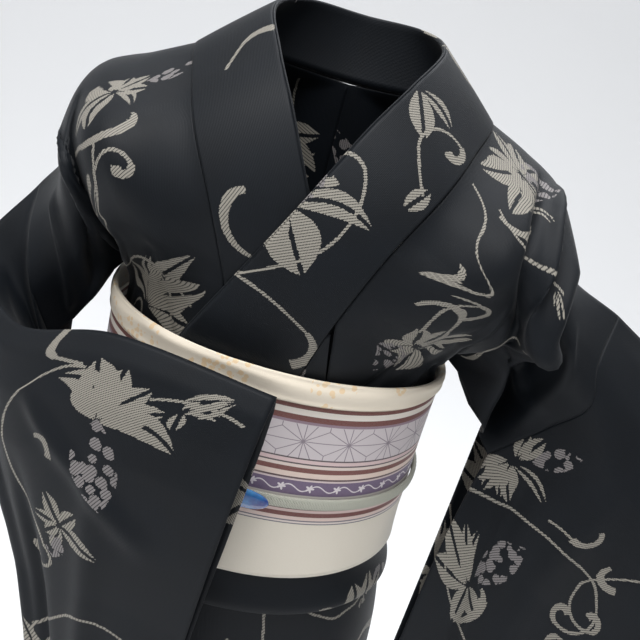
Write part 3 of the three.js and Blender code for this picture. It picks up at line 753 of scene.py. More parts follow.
@dataclass
class OverlapPanel:
    """The panel that widens a front: a narrow tip beside the collar, and the wrap below it.

    Its design is moved across by a shift from the seam.
    """

    side: Side
    shift: float = 40.0

    def patches(self) -> list[Patch]:
        """Returns the tip and the wrap below the belt."""
        left = self.side is Side.LEFT
        free, seam, start, end = (-80.0, -12.0, 8.0, 21.0) if left else (422.0, 366.0, 352.0, 339.0)
        tip_columns, hidden = 14, 24
        tip_angles = np.linspace(start, end, tip_columns + 1)
        above = np.concatenate([np.linspace(free, start, hidden + 1), tip_angles[1:]])
        below = np.linspace(free, seam, len(above))
        line = collar_line(self.side, "seam")
        point = line(np.array([TIP_ROW + 0.12]))[0]
        v = np.linspace(0, 1, 24)[:, None, None]
        k = np.linspace(0, 1, tip_columns + 1)[None, :, None]
        first = line(mix(TIP_ROW + 0.12, LAST_ROW, v[:, 0, 0]))[:, None, :]
        belt = FIGURE.point(tip_angles, np.full_like(tip_angles, TUCK), belt_out(tip_angles))
        toward = mix(first, mix(point, belt[-1], v), k)
        tip = mix(toward, belt[None], v**3)
        outward = 1.0 if left else -1.0
        low = wrap_grid(above, below, SKIRT_CREASES[(self.side, True)][-1:], outward)
        u_low, v_low = running(low, 1), running(low, 0)
        u_tip = running(tip, 1) + u_low[0, hidden]
        v_tip = running(tip, 0)
        v_tip -= v_tip[-1:]
        u_tip -= u_low[0, -1] + self.shift
        u_low -= u_low[:, -1:] + self.shift
        sign = self.side.value
        return [
            Patch(tip, u_tip * sign, v_tip, flip=not left),
            Patch(low, u_low * sign, v_low, flip=not left),
        ]


# The collar


@dataclass
class Collar:
    """The collar and the over collar that is folded round its free edge."""

    steps: int = 190
    fold: float = 1.1

    def strip(self, section: Sequence[tuple[float, float, float]], last: float) -> tuple[Array, Array]:
        """Works out a strip along both halves.

        Each point lies on the line from the seam to the edge, at a share of its length plus an inset,
        and is moved out along the cross product of that line and the collar's run by a lift and by
        the band's bow, which is a parabola across it.

        Args:
            section: For each column: the share across, the inset and the lift.
            last: The last row, counted from the nape.

        Returns:
            tuple: The grid and each row's distance along the collar from the nape.
        """
        share, inset, lift = (np.array(c, float)[None, :, None] for c in zip(*section))
        halves = []
        rows = np.linspace(0, last, self.steps)
        for side in (Side.LEFT, Side.RIGHT):
            edge, seam = collar_line(side, "edge"), collar_line(side, "seam")
            e, m = edge(rows)[:, None], seam(rows)[:, None]
            hi, lo = np.minimum(rows + 0.05, LAST_ROW), np.maximum(rows - 0.05, 0)
            run = [unit(line(hi) - line(lo))[:, None] for line in (seam, edge)]
            across = e - m
            length = np.linalg.norm(across, axis=-1, keepdims=True)
            across = across / length
            out = unit(np.cross(across, mix(run[0], run[1], share)) * side.value)
            bow = np.interp(rows, range(len(COLLAR_ROWS)), [r["bow"] for r in COLLAR_ROWS])[:, None, None]
            grid = m + across * (share * length + inset) + out * (lift + 4 * share * (1 - share) * bow)
            halves.append(grid)
        grid = np.concatenate([halves[0][:0:-1], halves[1]])
        middle = grid[:, grid.shape[1] // 2]
        steps = np.linalg.norm(np.diff(middle, axis=0), axis=1)
        along = np.concatenate([[0], np.cumsum(steps)])
        return grid, along - along[self.steps - 1]

    def over(self) -> Cloth:
        """Returns the over collar: outer leaf, fold and inner leaf in one sheet."""
        high, low = CLOTH / 2 + self.fold, CLOTH / 2 - self.fold
        leaf = [(x, 0.4 * (1 - x), high) for x in np.linspace(0, 0.985, 44)]
        bend = [math.radians(a) for a in range(-90, 91, 30)]
        turn = [(1.0, math.cos(a) * self.fold - 1.5, CLOTH / 2 - math.sin(a) * self.fold) for a in bend]
        inner = [(x, 2.0 * (1 - x), low) for x in (0.9, 0.7, 0.5, 0.3, 0.1, 0)]
        grid, along = self.strip(leaf + turn + inner, LAST_ROW - 0.5)
        u = running(grid, 1)
        v = np.broadcast_to(along[:, None], u.shape)
        return Cloth("over_collar_cloth", [Patch(grid, u, v)])

    def under(self) -> Cloth:
        """Returns the collar itself, which shows only where the over collar ends."""
        grid, along = self.strip([(x, 1.4 * (1 - x) - 2.4 * x, 0) for x in np.linspace(0, 1, 8)], LAST_ROW)
        u = running(grid, 1)
        return Cloth("collar_cloth", [Patch(grid, u, np.broadcast_to(along[:, None], u.shape))])


# Sleeves


SLEEVE_SECTION = (
    {"t": 0, "half": 0},
    {"t": 0.03, "half": 17},
    {"t": 0.09, "half": 29},
    {"t": 0.17, "half": 34},
    {"t": 0.28, "half": 29},
    {"t": 0.42, "half": 18},
    {"t": 0.6, "half": 11},
    {"t": 0.8, "half": 8},
    {"t": 1, "half": 4},
)

SLEEVE_STATIONS = {
    Side.LEFT: (
        {"top": (259, 0, -158), "middle": (176, -46), "foot": (158, -68), "belly": 1},
        {"top": (322, -4, -194), "middle": (258, -30), "foot": (232, -52), "belly": 1.1},
        {"top": (392, -18, -240), "middle": (342, -40), "foot": (322, -56), "belly": 1.05},
        {"top": (468, -56, -290), "middle": (436, -64), "foot": (420, -72), "belly": 0.95},
        {"top": (536, -104, -336), "middle": (524, -104), "foot": (512, -108), "belly": 0.85},
    ),
    Side.RIGHT: (
        {"top": (-216, -4, -180), "middle": (-163, -38), "foot": (-122, -88), "belly": 0.9},
        {"top": (-244, -34, -232), "middle": (-140, -82), "foot": (-96, -124), "belly": 0.7},
        {"top": (-188, -100, -258), "middle": (-122, -122), "foot": (-74, -146), "belly": 0.7},
        {"top": (-104, -140, -227), "middle": (-77, -150), "foot": (-46, -156), "belly": 0.6},
        {"top": (16, -162, -230), "middle": (-2, -166), "foot": (-18, -172), "belly": 0.5},
    ),
}

SLEEVE_CREASES = {
    Side.LEFT: (
        Crease((0.1, 0.34), (0.2, 0.02), 14, 6.0, 10),
        Crease((0.28, 0.38), (0.34, 0.04), 18, -5.0, -12),
        Crease((0.62, 0.3), (0.58, 0.0), 20, 4.4, 14),
        Crease((0.04, 0.66), (0.2, 0.98), 12, 8.0, 10),
        Crease((0.14, 0.62), (0.34, 0.95), 13, -9.0, 8),
        Crease((0.26, 0.6), (0.5, 0.96), 15, 7.0, 12),
        Crease((0.5, 0.6), (0.62, 1.0), 20, -4.6, -10),
        Crease((0.78, 0.62), (0.74, 1.0), 22, 4.4, 10),
    ),
    Side.RIGHT: (
        Crease((0.18, 0.3), (0.24, 0.0), 10, -7.0, 8),
        Crease((0.34, 0.34), (0.36, 0.0), 12, 6.0, -8),
        Crease((0.12, 0.62), (0.2, 1.0), 9, -6.0, 5),
        Crease((0.26, 0.66), (0.3, 1.0), 11, 8.0, 8),
        Crease((0.4, 0.62), (0.44, 1.0), 12, -9.0, -8),
        Crease((0.55, 0.64), (0.6, 1.0), 14, 7.0, 8),
        Crease((0.6, 0.56), (0.86, 0.66), 9, -4.0, 6),
        Crease((0.76, 0.62), (0.72, 1.0), 18, -4.0, 6),
    ),
}


@dataclass
class Sleeve:
    """A bag hung from the arm, open at the cuff above and beside the body below its seam."""

    side: Side
    length: float = 490.0
    middle_share: float = 0.45
    cuff_open: float = 0.47
    seam_run: float = 165.0
    columns: int = 118

    def _hang(self, start: Array, plan: tuple[float, float], share: float) -> Array:
        """Returns the point below a plan place at which the cloth from start is used up."""
        dx, dy = plan[0] - start[0], plan[1] - start[1]
        drop = math.sqrt((self.length * share) ** 2 - dx * dx - dy * dy)
        return np.array([plan[0], plan[1], start[2] - drop])

    def faces(self, t: Array) -> tuple[Array, Array]:
        """Works out the front and the back at all stations.

        Each station hangs from the arm's top through a middle to a foot, and its front and back lie
        half a section's width on either side. The first station is the sleeve seam, and below it
        the two free edges.

        Args:
            t: Shares down from the arm's top.

        Returns:
            tuple: The front and the back, as stations by share by coordinate.
        """
        sign = self.side.value
        rows = SLEEVE_STATIONS[self.side]
        half = column(SLEEVE_SECTION, "half", "t", t)[:, None]
        faces: dict[bool, list[Array]] = {True: [], False: []}
        for i, row in enumerate(rows):
            top = np.array(row["top"], float)
            before = np.array(rows[max(0, i - 1)]["top"])
            after = np.array(rows[min(len(rows) - 1, i + 1)]["top"])
            forward = unit(np.append((after - before)[:2], 0.0))
            out = np.array([sign * forward[1], -sign * forward[0], 0.0])
            middle = self._hang(top, row["middle"], self.middle_share)
            foot = self._hang(middle, row["foot"], 1 - self.middle_share)
            centre = Curve([top, middle, foot]).length(t)
            for front in (True, False):
                away = 1 if front else -1
                if i:
                    faces[front].append(centre + out * away * half * row["belly"])
                    continue
                seam = np.array(SLEEVE_SEAM[self.side][front], float)
                share = self.seam_run / self.length
                free = Curve([seam[-1], middle - [0, away * 14, 0], foot - [0, away * 6, 0]])
                upper = Curve(seam).length(np.minimum(t / share, 1))
                lower = free.length(np.clip((t - share) / (1 - share), 0, 1))
                faces[front].append(np.where((t <= share)[:, None], upper, lower))
        return np.array(faces[True]), np.array(faces[False])

    def cloth(self) -> Cloth:
        """Returns the sleeve in one sheet, with the strip that closes the cuff's lower half."""
        t = np.linspace(0, 1, 126) ** 1.08
        across = np.linspace(0, 1, self.columns)
        front, back = (np.moveaxis(through(face, across), 0, 1) for face in self.faces(t))
        keel = mix(front[-1], back[-1], 0.5) - [0, 0, 3]
        loop = np.concatenate([keel[None], front[::-1], back[1:], keel[None]])
        right = self.side is Side.RIGHT
        rows = len(loop)
        b = np.abs(np.linspace(-1, 1, rows))[:, None]
        a = across[None, :]
        hold = smooth(a / 0.04) * smooth((1 - a) / 0.03) * smooth(b / 0.12) * smooth((1.0 - b) / 0.02)
        loop = creased(loop, SLEEVE_CREASES[self.side], (350, 980), 1.0 if right else -1.0, hold)
        front, back = loop[1 : len(t) + 1][::-1], loop[len(t) : -1]
        u, v = running(loop, 1), running(loop, 0)
        v = v - v[len(t) : len(t) + 1]
        closed = t >= self.cuff_open
        f, k = front[closed, -1], back[closed, -1]
        before, last = (np.array(row["top"], float) for row in SLEEVE_STATIONS[self.side][-2:])
        mid = mix(f, k, 0.5) + unit(last - before) * 2.4
        cuff = np.stack([f, mid, k], axis=1)
        cuff = np.concatenate([cuff, np.repeat(keel[-1][None, None], 3, axis=1)])
        u_cuff = np.broadcast_to(np.array([[0.0, 4.0, 8.0]]), cuff.shape[:2])
        v_cuff = running(cuff, 0)
        bag = Patch(loop, u * self.side.value, -v, flip=not right)
        strip = Patch(cuff, u_cuff + 800, v_cuff, flip=right)
        return Cloth(f"sleeve_{self.side.word}_cloth", [bag, strip])


# Belt pieces


OBI_OUT, OBI_WALL = 14.0, 3.2
CORD_LEVEL, CORD_WIDTH, CORD_DEPTH = -333.0, 9.5, 4.0
CORD_OUT = OBI_OUT + OBI_WALL + 0.9


@dataclass
class Obi:
    """The obi's front band round the waist, and its drum knot and tail at the back."""

    knot_width: float = 300.0
    drum: tuple = (
        (106.8, -298),
        (110.4, -258),
        (112.5, -232),
        (124, -213),
        (146, -212),
        (163, -232),
        (173, -280),
        (178, -350),
        (178, -430),
        (172, -480),
        (160, -496),
        (147, -488),
        (134, -456),
        (123, -415),
        (118.3, -388),
    )
    tail: tuple = (
        (106.2, -346),
        (109, -380),
        (112.6, -410),
        (116.6, -445),
        (121.5, -500),
        (129, -574),
    )
    creases: tuple = (
        Crease((0.72, 0.95), (0.735, 0.55), 4, 0.9, 3),
        Crease((0.75, 0.9), (0.74, 0.5), 3, -0.8, -3),
        Crease((0.3, 0.9), (0.42, 0.72), 5, 0.7, 4),
        Crease((0.27, 0.85), (0.25, 0.5), 4, 0.8, 2),
    )

    def band(self) -> Cloth:
        """Returns the band: rings at one distance out, from one end behind the knot to the other."""
        angle = np.linspace(180.3, 539.7, 300)[None, :]
        z = np.linspace(OBI_TOP, OBI_BOTTOM, 44)[:, None]
        grid = FIGURE.point(angle, z + side_rise(angle, z), OBI_OUT)
        grid = creased(grid, self.creases, (830, 155), 1.0)
        u = running(grid, 1)
        return Cloth("obi_band_cloth", [Patch(grid, u - u[:, 150:151], running(grid, 0))])

    def strip(self, name: str, path: Sequence[tuple[float, float]], creases: Sequence[Crease]) -> Cloth:
        """Returns a strip across the back along a side view of its path, bowed forward at its sides.

        Args:
            name: The piece's name.
            path: y and z of the path.
            creases: Its creases.

        Returns:
            Cloth: The strip.
        """
        line = Curve([(0, y, z) for y, z in path]).length(np.linspace(0, 1, 110))
        x = np.linspace(-0.5, 0.5, 60) * self.knot_width
        grid = line[:, None, :] + np.stack([x, -5 * (2 * x / self.knot_width) ** 2, 0 * x], axis=-1)
        grid = creased(grid, creases, (300, 700), -1.0)
        return Cloth(name, [Patch(grid, running(grid, 0), running(grid, 1), flip=True)])

    def knot(self) -> Cloth:
        """Returns the drum knot."""
        soft = (
            Crease((0.15, 0.4), (0.3, 0.75), 14, 1.4, 8),
            Crease((0.85, 0.42), (0.7, 0.7), 12, -1.3, -8),
            Crease((0.4, 0.3), (0.45, 0.5), 10, 1.2, 5),
        )
        return self.strip("obi_drum_cloth", self.drum, soft)

    def hanging(self) -> Cloth:
        """Returns the tail."""
        return self.strip("obi_tail_cloth", self.tail, (Crease((0.3, 0.5), (0.6, 0.9), 12, 0.8, 6),))


@dataclass
class Ring:
    """A soft closed band round the waist with a rounded section."""

    name: str
    sides: int
    steps: int
    square: float = 0.7

    def around(self, section: Callable[[Array], tuple]) -> Cloth:
        """Returns the band.

        Each section is an oval whose sine and cosine are taken to a power below one, which squares it.

        Args:
            section: Gives the bottom, height, inner distance, depth and ripple at each angle.

        Returns:
            Cloth: The band.
        """
        angle = np.linspace(0, 360, self.steps + 1)[:, None]
        turn = np.linspace(0, 2 * np.pi, self.sides + 1)[None, :]
        low, height, inner, depth, ripple = section(angle)
        out = inner + depth / 2 + powered(np.cos(turn), self.square) * depth / 2 + ripple(angle, turn)
        z = low + height / 2 + powered(np.sin(turn), self.square) * height / 2
        grid = FIGURE.point(np.broadcast_to(angle, out.shape), z, out)
        grid[-1] = grid[0]
        grid[:, -1] = grid[:, 0]
        along = running(grid, 0)
        return Cloth(self.name, [Patch(grid, along, running(grid, 1))])


def scarf_section(angle: Array) -> tuple:
    """Returns the scarf's section: lower at the wearer's left side, further out at the front.

    Its ripples are drawn-out pleats that rise and fall along it.
    """
    away = np.minimum(angle, 360 - angle)
    height = mix(21, 10, bell((angle - 105) / 50))

    def ripple(a: Array, turn: Array) -> Array:
        front = np.clip(np.cos(turn), 0, 1)
        slow = 0.5 + 0.5 * np.sin(np.radians(a) * 3 + 0.8)
        pleat = np.sin(turn * 5 + np.sin(np.radians(a) * 4) * 1.1)
        return front * (pleat * (0.35 + 0.45 * slow) + 0.4 * np.sin(np.radians(a) * 11 + turn * 2) - 0.6)

    return OBI_TOP + 0.6, height, 12.9 + 3.4 * bell(away / 60), 6.6, ripple


def cord_section(angle: Array) -> tuple:
    """Returns the braid's section, with the small bumps of its plaits."""

    def ripple(a: Array, turn: Array) -> Array:
        front = np.clip(np.cos(turn), 0, 1)
        row = np.sin(turn * 4)
        return front * (0.22 * np.sin(np.radians(a) * 150 + np.sign(row) * turn * 3) - 0.25)

    return CORD_LEVEL - CORD_WIDTH / 2, CORD_WIDTH, CORD_OUT, CORD_DEPTH, ripple


@dataclass
class Clip:
    """The glass lens on the cord: an oval drawn to a point at both ends."""

    x: float = 6.0
    length: float = 48.0
    height: float = 17.0
    depth: float = 6.0
    level: float = CORD_LEVEL

    def build(self) -> Cloth:
        """Returns the lens: a ball whose height and depth fade to the ends by a power of the cosine."""
        along = np.linspace(-np.pi / 2, np.pi / 2, 60)[:, None]
        round_ = np.linspace(0, 2 * np.pi, 49)[None, :]
        width = np.cos(along) ** 0.9
        out = CORD_OUT + CORD_DEPTH + self.depth / 2 + 0.6
        centre = FIGURE.point(np.array(self.x / 2.4), np.array(self.level), out)
        grid = np.stack(
            [
                self.x + np.sin(along) * self.length / 2 + 0 * round_,
                centre[1] + np.cos(round_) * width * self.depth / 2,
                self.level + np.sin(round_) * width * self.height / 2,
            ],
            axis=-1,
        )
        grid[:, -1] = grid[:, 0]
        u = running(grid, 0)
        return Cloth("clip_glass", [Patch(grid, u, running(grid, 1))])


# The woven design


@dataclass(frozen=True)
class Arc:
    """One arc of a vine: its radius, its turn in degrees and its width at both ends."""

    radius: float
    turn: float
    width: float = 2.3
    end: float = 2.3
    tighten: float = 1.0


@dataclass(frozen=True)
class Vine:
    """A chain of arcs that starts at a place with a heading, as a pen would draw it."""

    x: float
    y: float
    heading: float
    arcs: tuple[Arc, ...]


@dataclass(frozen=True)
class Leaf:
    """A pointed petal or leaf with a dark rib."""

    x: float
    y: float
    angle: float
    length: float
    width: float
    bend: float = 0.0


@dataclass(frozen=True)
class Layout:
    """The design of one panel, in millimetres of its flat cloth."""

    vines: tuple[Vine, ...]
    leaves: tuple[Leaf, ...]
    florets: tuple[Leaf, ...]
    repeat: float = 450.0
    start: float = 0.0
    turned: bool = False
    halves: bool = False


def fan(x: float, y: float, *petals: tuple) -> tuple[Leaf, ...]:
    """Returns the petals of a flower from rows of angle, length, width and bend."""
    return tuple(Leaf(x, y, *petal) for petal in petals)


def curl(radius: float, turn: float) -> tuple[Arc, ...]:
    """Returns a stem's end that swells as it curls in."""
    way = math.copysign(1, turn)
    return (Arc(radius, turn, 2.4, 3.4), Arc(radius * 0.42, way * 210, 5.0, 7.5, 0.62))


RIGHT_BODY = Layout(
    vines=(
        Vine(147, 100, 25, (Arc(150, 12), Arc(26, -95, 3, 9), Arc(10, -60, 8, 3))),
        Vine(188, 121, 97, (Arc(200, -15), Arc(60, -50), Arc(300, -14))),
        Vine(188, 140, -62, curl(15, 130)),
        Vine(187, 146, 140, curl(11, 120)),
        Vine(262, 330, 250, (Arc(90, 40),) + curl(20, -120)),
        Vine(120, 330, -70, (Arc(120, 40), Arc(40, 70)) + curl(16, 110)),
    ),
    leaves=(
        fan(180, 77, (208, 29, 14), (250, 22, 12), (300, 27, 15), (345, 30, 11))
        + fan(180, 77, (28, 34, 8, 0.5), (95, 33, 14), (145, 33, 13))
        + fan(233, 277, (-106, 68, 11, 0.4), (-90, 60, 13), (-66, 84, 20), (-44, 76, 22), (-16, 54, 18))
        + fan(150, 400, (-160, 40, 16), (-120, 46, 18), (-80, 44, 16), (-40, 46, 14))
        + fan(150, 400, (20, 38, 13, 0.4), (80, 34, 14))
    ),
    florets=(Leaf(198, 62, -38, 40, 18), Leaf(160, 405, 150, 60, 26)),
)

LEFT_BODY = Layout(
    vines=(
        Vine(-290, 86, 50, (Arc(50, 40), Arc(300, 6), Arc(17, 100, 2.4, 3.4), Arc(9, 110, 5, 6))),
        Vine(-264, 104, 35, (Arc(34, -110, 3, 9), Arc(12, -120, 8, 3))),
        Vine(-263, 98, 62, (Arc(42, -85), Arc(60, 40))),
        Vine(-278, 172, -25, (Arc(34, 50, 2.3, 3), Arc(8, 120, 4, 5))),
        Vine(-240, 214, -92, (Arc(90, -12), Arc(20, -90, 2.4, 5), Arc(12, -60, 5, 4))),
        Vine(-268, 168, 62, (Arc(80, 35),)),
        Vine(-190, 172, -40, (Arc(34, 80, 3, 9), Arc(12, 60, 7, 3))),
        Vine(-192, 176, 80, (Arc(240, -16),)),
        Vine(-60, 330, 210, (Arc(160, -30), Arc(60, -60)) + curl(18, -120)),
        Vine(-150, 300, 100, (Arc(120, -40), Arc(50, 80))),
    ),
    leaves=(
        fan(-206, 48, (166, 70, 20), (190, 40, 15), (-90, 36, 18), (-56, 42, 16), (-25, 46, 13))
        + fan(-206, 48, (68, 42, 10, 0.6), (108, 40, 17), (132, 66, 20))
        + fan(-246, 234, (-46, 52, 14), (-82, 34, 12), (-12, 34, 12))
        + fan(-246, 234, (-122, 30, 13), (139, 54, 17), (168, 40, 14))
        + fan(-180, 116, (55, 13, 8), (98, 11, 7))
        + fan(-110, 385, (-170, 44, 16), (-125, 50, 19), (-85, 46, 17), (-40, 48, 14))
        + fan(-110, 385, (15, 40, 12, 0.5), (95, 36, 15))
    ),
    florets=(Leaf(-204, 46, -8, 62, 24), Leaf(-260, 236, 152, 56, 20), Leaf(-100, 392, 60, 60, 26)),
)

LEFT_SLEEVE = Layout(
    vines=(
        Vine(-6, 216, -40, (Arc(170, 28), Arc(340, 10), Arc(40, 60)) + curl(24, 130)),
        Vine(70, 166, -24, (Arc(60, 20), Arc(12, -150, 7, 4))),
        Vine(152, 163, 130, (Arc(13, 150, 9, 4),)),
        Vine(6, 263, 48, (Arc(110, -26), Arc(200, 20))),
        Vine(40, 292, 20, (Arc(24, -130, 4, 10), Arc(9, -60, 7, 3))),
        Vine(200, 60, 100, (Arc(120, 40), Arc(70, -60)) + curl(20, -130)),
        Vine(120, 330, -20, (Arc(90, -60),) + curl(22, -120)),
        Vine(260, 300, 120, (Arc(110, 50), Arc(50, -70)) + curl(18, -110)),
    ),
    leaves=(
        fan(13, 165, (112, 40, 12), (96, 36, 13), (60, 30, 12), (38, 34, 14), (-5, 46, 8, 0.6))
        + fan(13, 160, (-100, 30, 12), (-130, 24, 12))
        + fan(45, 262, (-160, 58, 21), (165, 50, 18), (-112, 46, 10, 0.5))
        + fan(45, 262, (88, 38, 17), (34, 36, 15), (-135, 48, 14))
        + fan(228, 190, (-100, 40, 15), (-60, 44, 16), (-20, 40, 13))
        + fan(228, 190, (150, 36, 13), (100, 34, 14), (40, 30, 12))
        + fan(190, 400, (-150, 44, 17), (-110, 48, 18), (-70, 44, 15), (10, 40, 13, 0.5), (80, 34, 15))
    ),
    florets=(Leaf(50, 258, -66, 66, 26), Leaf(20, 150, -70, 40, 16), Leaf(235, 195, 62, 60, 24)),
    repeat=470.0,
)

RIGHT_SLEEVE = Layout(
    vines=(
        Vine(269, 26, 188, (Arc(46, -108), Arc(160, -20), Arc(90, 30)) + curl(12, 170)),
        Vine(265, 24, 184, (Arc(200, 8), Arc(24, 110, 4, 9), Arc(10, 60, 8, 4))),
        Vine(326, 34, -28, (Arc(90, 42),)),
        Vine(268, 96, -60, (Arc(12, -140, 7, 4),)),
        Vine(150, 60, 100, (Arc(110, 40), Arc(60, -70)) + curl(20, -130)),
        Vine(120, 330, -30, (Arc(90, 50), Arc(60, -60)) + curl(18, -120)),
        Vine(300, 240, 200, (Arc(140, -50),) + curl(22, -130)),
    ),
    leaves=(
        fan(304, 62, (-125, 54, 25), (-100, 44, 20), (-152, 60, 15, -0.6), (-62, 40, 20))
        + fan(304, 62, (-30, 46, 17), (3, 62, 16, 0.5))
        + fan(270, 152, (-108, 32, 11), (-150, 28, 8), (-30, 22, 12))
        + fan(270, 152, (38, 38, 12), (120, 26, 10), (165, 18, 10))
        + fan(372, 12, (150, 32, 11), (120, 26, 9))
        + fan(350, 34, (-10, 26, 8, 0.5), (70, 16, 9), (-60, 14, 9))
        + fan(180, 300, (-150, 44, 17), (-110, 50, 20), (-70, 46, 17))
        + fan(180, 300, (-25, 44, 13), (60, 36, 15), (110, 34, 14))
        + fan(330, 380, (170, 40, 15), (-140, 44, 17), (-95, 42, 15), (-40, 40, 13), (70, 32, 13))
    ),
    florets=(Leaf(304, 60, 82, 70, 30), Leaf(268, 160, 130, 26, 14), Leaf(175, 306, 150, 60, 24)),
    repeat=470.0,
    turned=True,
)

COLLAR = Layout(
    vines=(
        Vine(-12, 262, -140, (Arc(160, 12), Arc(20, 150), Arc(9, 190, 5, 8, 0.6))),
        Vine(-78, 386, -42, (Arc(260, -10), Arc(58, -80), Arc(17, -140, 2.4, 3.6), Arc(9, -160, 5, 7))),
        Vine(-78, 386, -6, (Arc(120, 32), Arc(20, 120, 4, 10))),
        Vine(64, 172, 196, (Arc(22, -72, 8, 3), Arc(200, -8))),
        Vine(26, 303, 190, (Arc(13, -60, 5, 8), Arc(28, -100, 8, 3), Arc(60, -34))),
        Vine(-60, 60, 100, (Arc(120, -30),) + curl(16, -130)),
        Vine(20, 40, 60, (Arc(90, 30),) + curl(16, 130)),
    ),
    leaves=(
        fan(-62, 196, (52, 42, 17), (10, 38, 10, 0.5))
        + fan(-78, 326, (40, 52, 30), (-18, 62, 15, 0.6), (75, 34, 16))
        + fan(-15, 280, (-80, 26, 12))
        + fan(-40, 130, (-150, 30, 14), (-100, 34, 15), (-40, 32, 12))
        + fan(40, 100, (150, 34, 15), (100, 32, 13), (40, 30, 12))
        + fan(40, 400, (-120, 36, 16), (-70, 40, 17), (-20, 36, 13), (60, 30, 13))
    ),
    florets=(Leaf(-70, 318, -100, 30, 12), Leaf(46, 96, -60, 40, 18)),
    repeat=1000.0,
    halves=True,
)


class Tree:
    """A node tree that is written as sums of its sockets."""

    def __init__(self, tree: bpy.types.NodeTree) -> None:
        """Keeps the tree."""
        self.tree = tree

    def _feed(self, node: bpy.types.Node, index: int | str, value) -> None:
        """Links a socket or sets a constant."""
        if isinstance(value, Socket):
            self.tree.links.new(value, node.inputs[index])
        elif value is not None:
            node.inputs[index].default_value = value

    def node(self, kind: str, out: int | str = 0, inputs: dict | None = None, **settings) -> Socket:
        """Adds a node and returns one of its outputs.

        Args:
            kind: The node's type name without the leading "ShaderNode".
            out: The output.
            inputs: Values or sockets by input.
            settings: The node's own settings.

        Returns:
            NodeSocket: The output.
        """
        node = self.tree.nodes.new("ShaderNode" + kind)
        for key, value in settings.items():
            setattr(node, key, value)
        for key, value in (inputs or {}).items():
            self._feed(node, key, value)
        return node.outputs[out]

    def math(self, operation: str, a, b=None, c=None) -> Socket:
        """Returns a sum of numbers."""
        return self.node("Math", inputs={0: a, 1: b, 2: c}, operation=operation)

    def vector(self, operation: str, a, b=None, out: int | str = 0) -> Socket:
        """Returns a sum of vectors."""
        return self.node("VectorMath", out, {0: a, 1: b}, operation=operation)

    def colour(self, share, a, b) -> Socket:
        """Returns a blend of two colours."""
        return self.node("Mix", 2, {0: share, 6: a, 7: b}, data_type="RGBA")

    def split(self, vector) -> tuple[Socket, ...]:
        """Returns a vector's three parts."""
        node = self.tree.nodes.new("ShaderNodeSeparateXYZ")
        self.tree.links.new(vector, node.inputs[0])
        return tuple(node.outputs)

    def set(self, node: bpy.types.Node, values: dict) -> None:
        """Links or sets a node's inputs by name."""
        for key, value in values.items():
            self._feed(node, key, value)

    def noise(self, place, scale: float, detail: float = 2.0) -> Socket:
        """Returns soft noise."""
        return self.node("TexNoise", 0, {"Vector": place, "Scale": scale, "Detail": detail})

    def between(self, value, low: float, high: float) -> Socket:
        """Returns 1 where a value lies between two bounds."""
        half = (high - low) / 2
        return self.math("COMPARE", value, low + half, half)


def rgb(red: int, green: int, blue: int) -> tuple[float, float, float, float]:
    """Returns a screen colour as linear light."""
    light = (c / 255 / 12.92 if c < 11 else ((c / 255 + 0.055) / 1.055) ** 2.4 for c in (red, green, blue))
    return (*light, 1.0)


def blank(name: str) -> tuple[bpy.types.Material, Tree, bpy.types.Node]:
    """Returns a new material, its tree and its shader."""
    mat = bpy.data.materials.new(name)
    mat.use_nodes = True
    return mat, Tree(mat.node_tree), mat.node_tree.nodes["Principled BSDF"]


def group(name: str, inputs: Sequence[tuple[str, str]]) -> tuple[bpy.types.NodeTree, Tree, dict]:
    """Starts a node group that gives one number.

    Args:
        name: The group's name.
        inputs: Pairs of a socket's name and kind.

    Returns:
        tuple: The group, its tree and its inputs by name.
    """
    made = bpy.data.node_groups.new(name, "ShaderNodeTree")
    for label, kind in inputs:
        made.interface.new_socket(label, in_out="INPUT", socket_type="NodeSocket" + kind)
    made.interface.new_socket("mask", in_out="OUTPUT", socket_type="NodeSocketFloat")
    entry = made.nodes.new("NodeGroupInput")
    return made, Tree(made), {label: entry.outputs[label] for label, _ in inputs}


def arc_group() -> bpy.types.NodeTree:
    """Makes the mask of one arc.

    A place's share along the arc comes from its angle about the centre, and it is inside where its
    distance from the arc's radius at that share is less than half the width there.
    """
    numbers = ("way", "start", "rate", "radius", "change", "width", "grow")
    vectors = (("place", "Vector"), ("centre", "Vector"))
    made, tree, given = group("arc", vectors + tuple((n, "Float") for n in numbers))
    off = tree.vector("SUBTRACT", given["place"], given["centre"])
    x, y, _ = tree.split(off)
    angle = tree.math("MULTIPLY", tree.math("ARCTAN2", y, x), given["way"])
    turns = tree.math("FRACT", tree.math("MULTIPLY_ADD", angle, 1 / (2 * math.pi), given["start"]))
    share = tree.math("MULTIPLY", turns, given["rate"])
    ring = tree.math("MULTIPLY_ADD", share, given["change"], given["radius"])
    reach = tree.math("MULTIPLY_ADD", share, given["grow"], given["width"])
    apart = tree.math("ABSOLUTE", tree.math("SUBTRACT", tree.vector("LENGTH", off, out="Value"), ring))
    inside = tree.math("LESS_THAN", apart, reach)
    mask = tree.math("MULTIPLY", inside, tree.math("LESS_THAN", share, 1.0))
    out = made.nodes.new("NodeGroupOutput")
    made.links.new(mask, out.inputs[0])
    return made


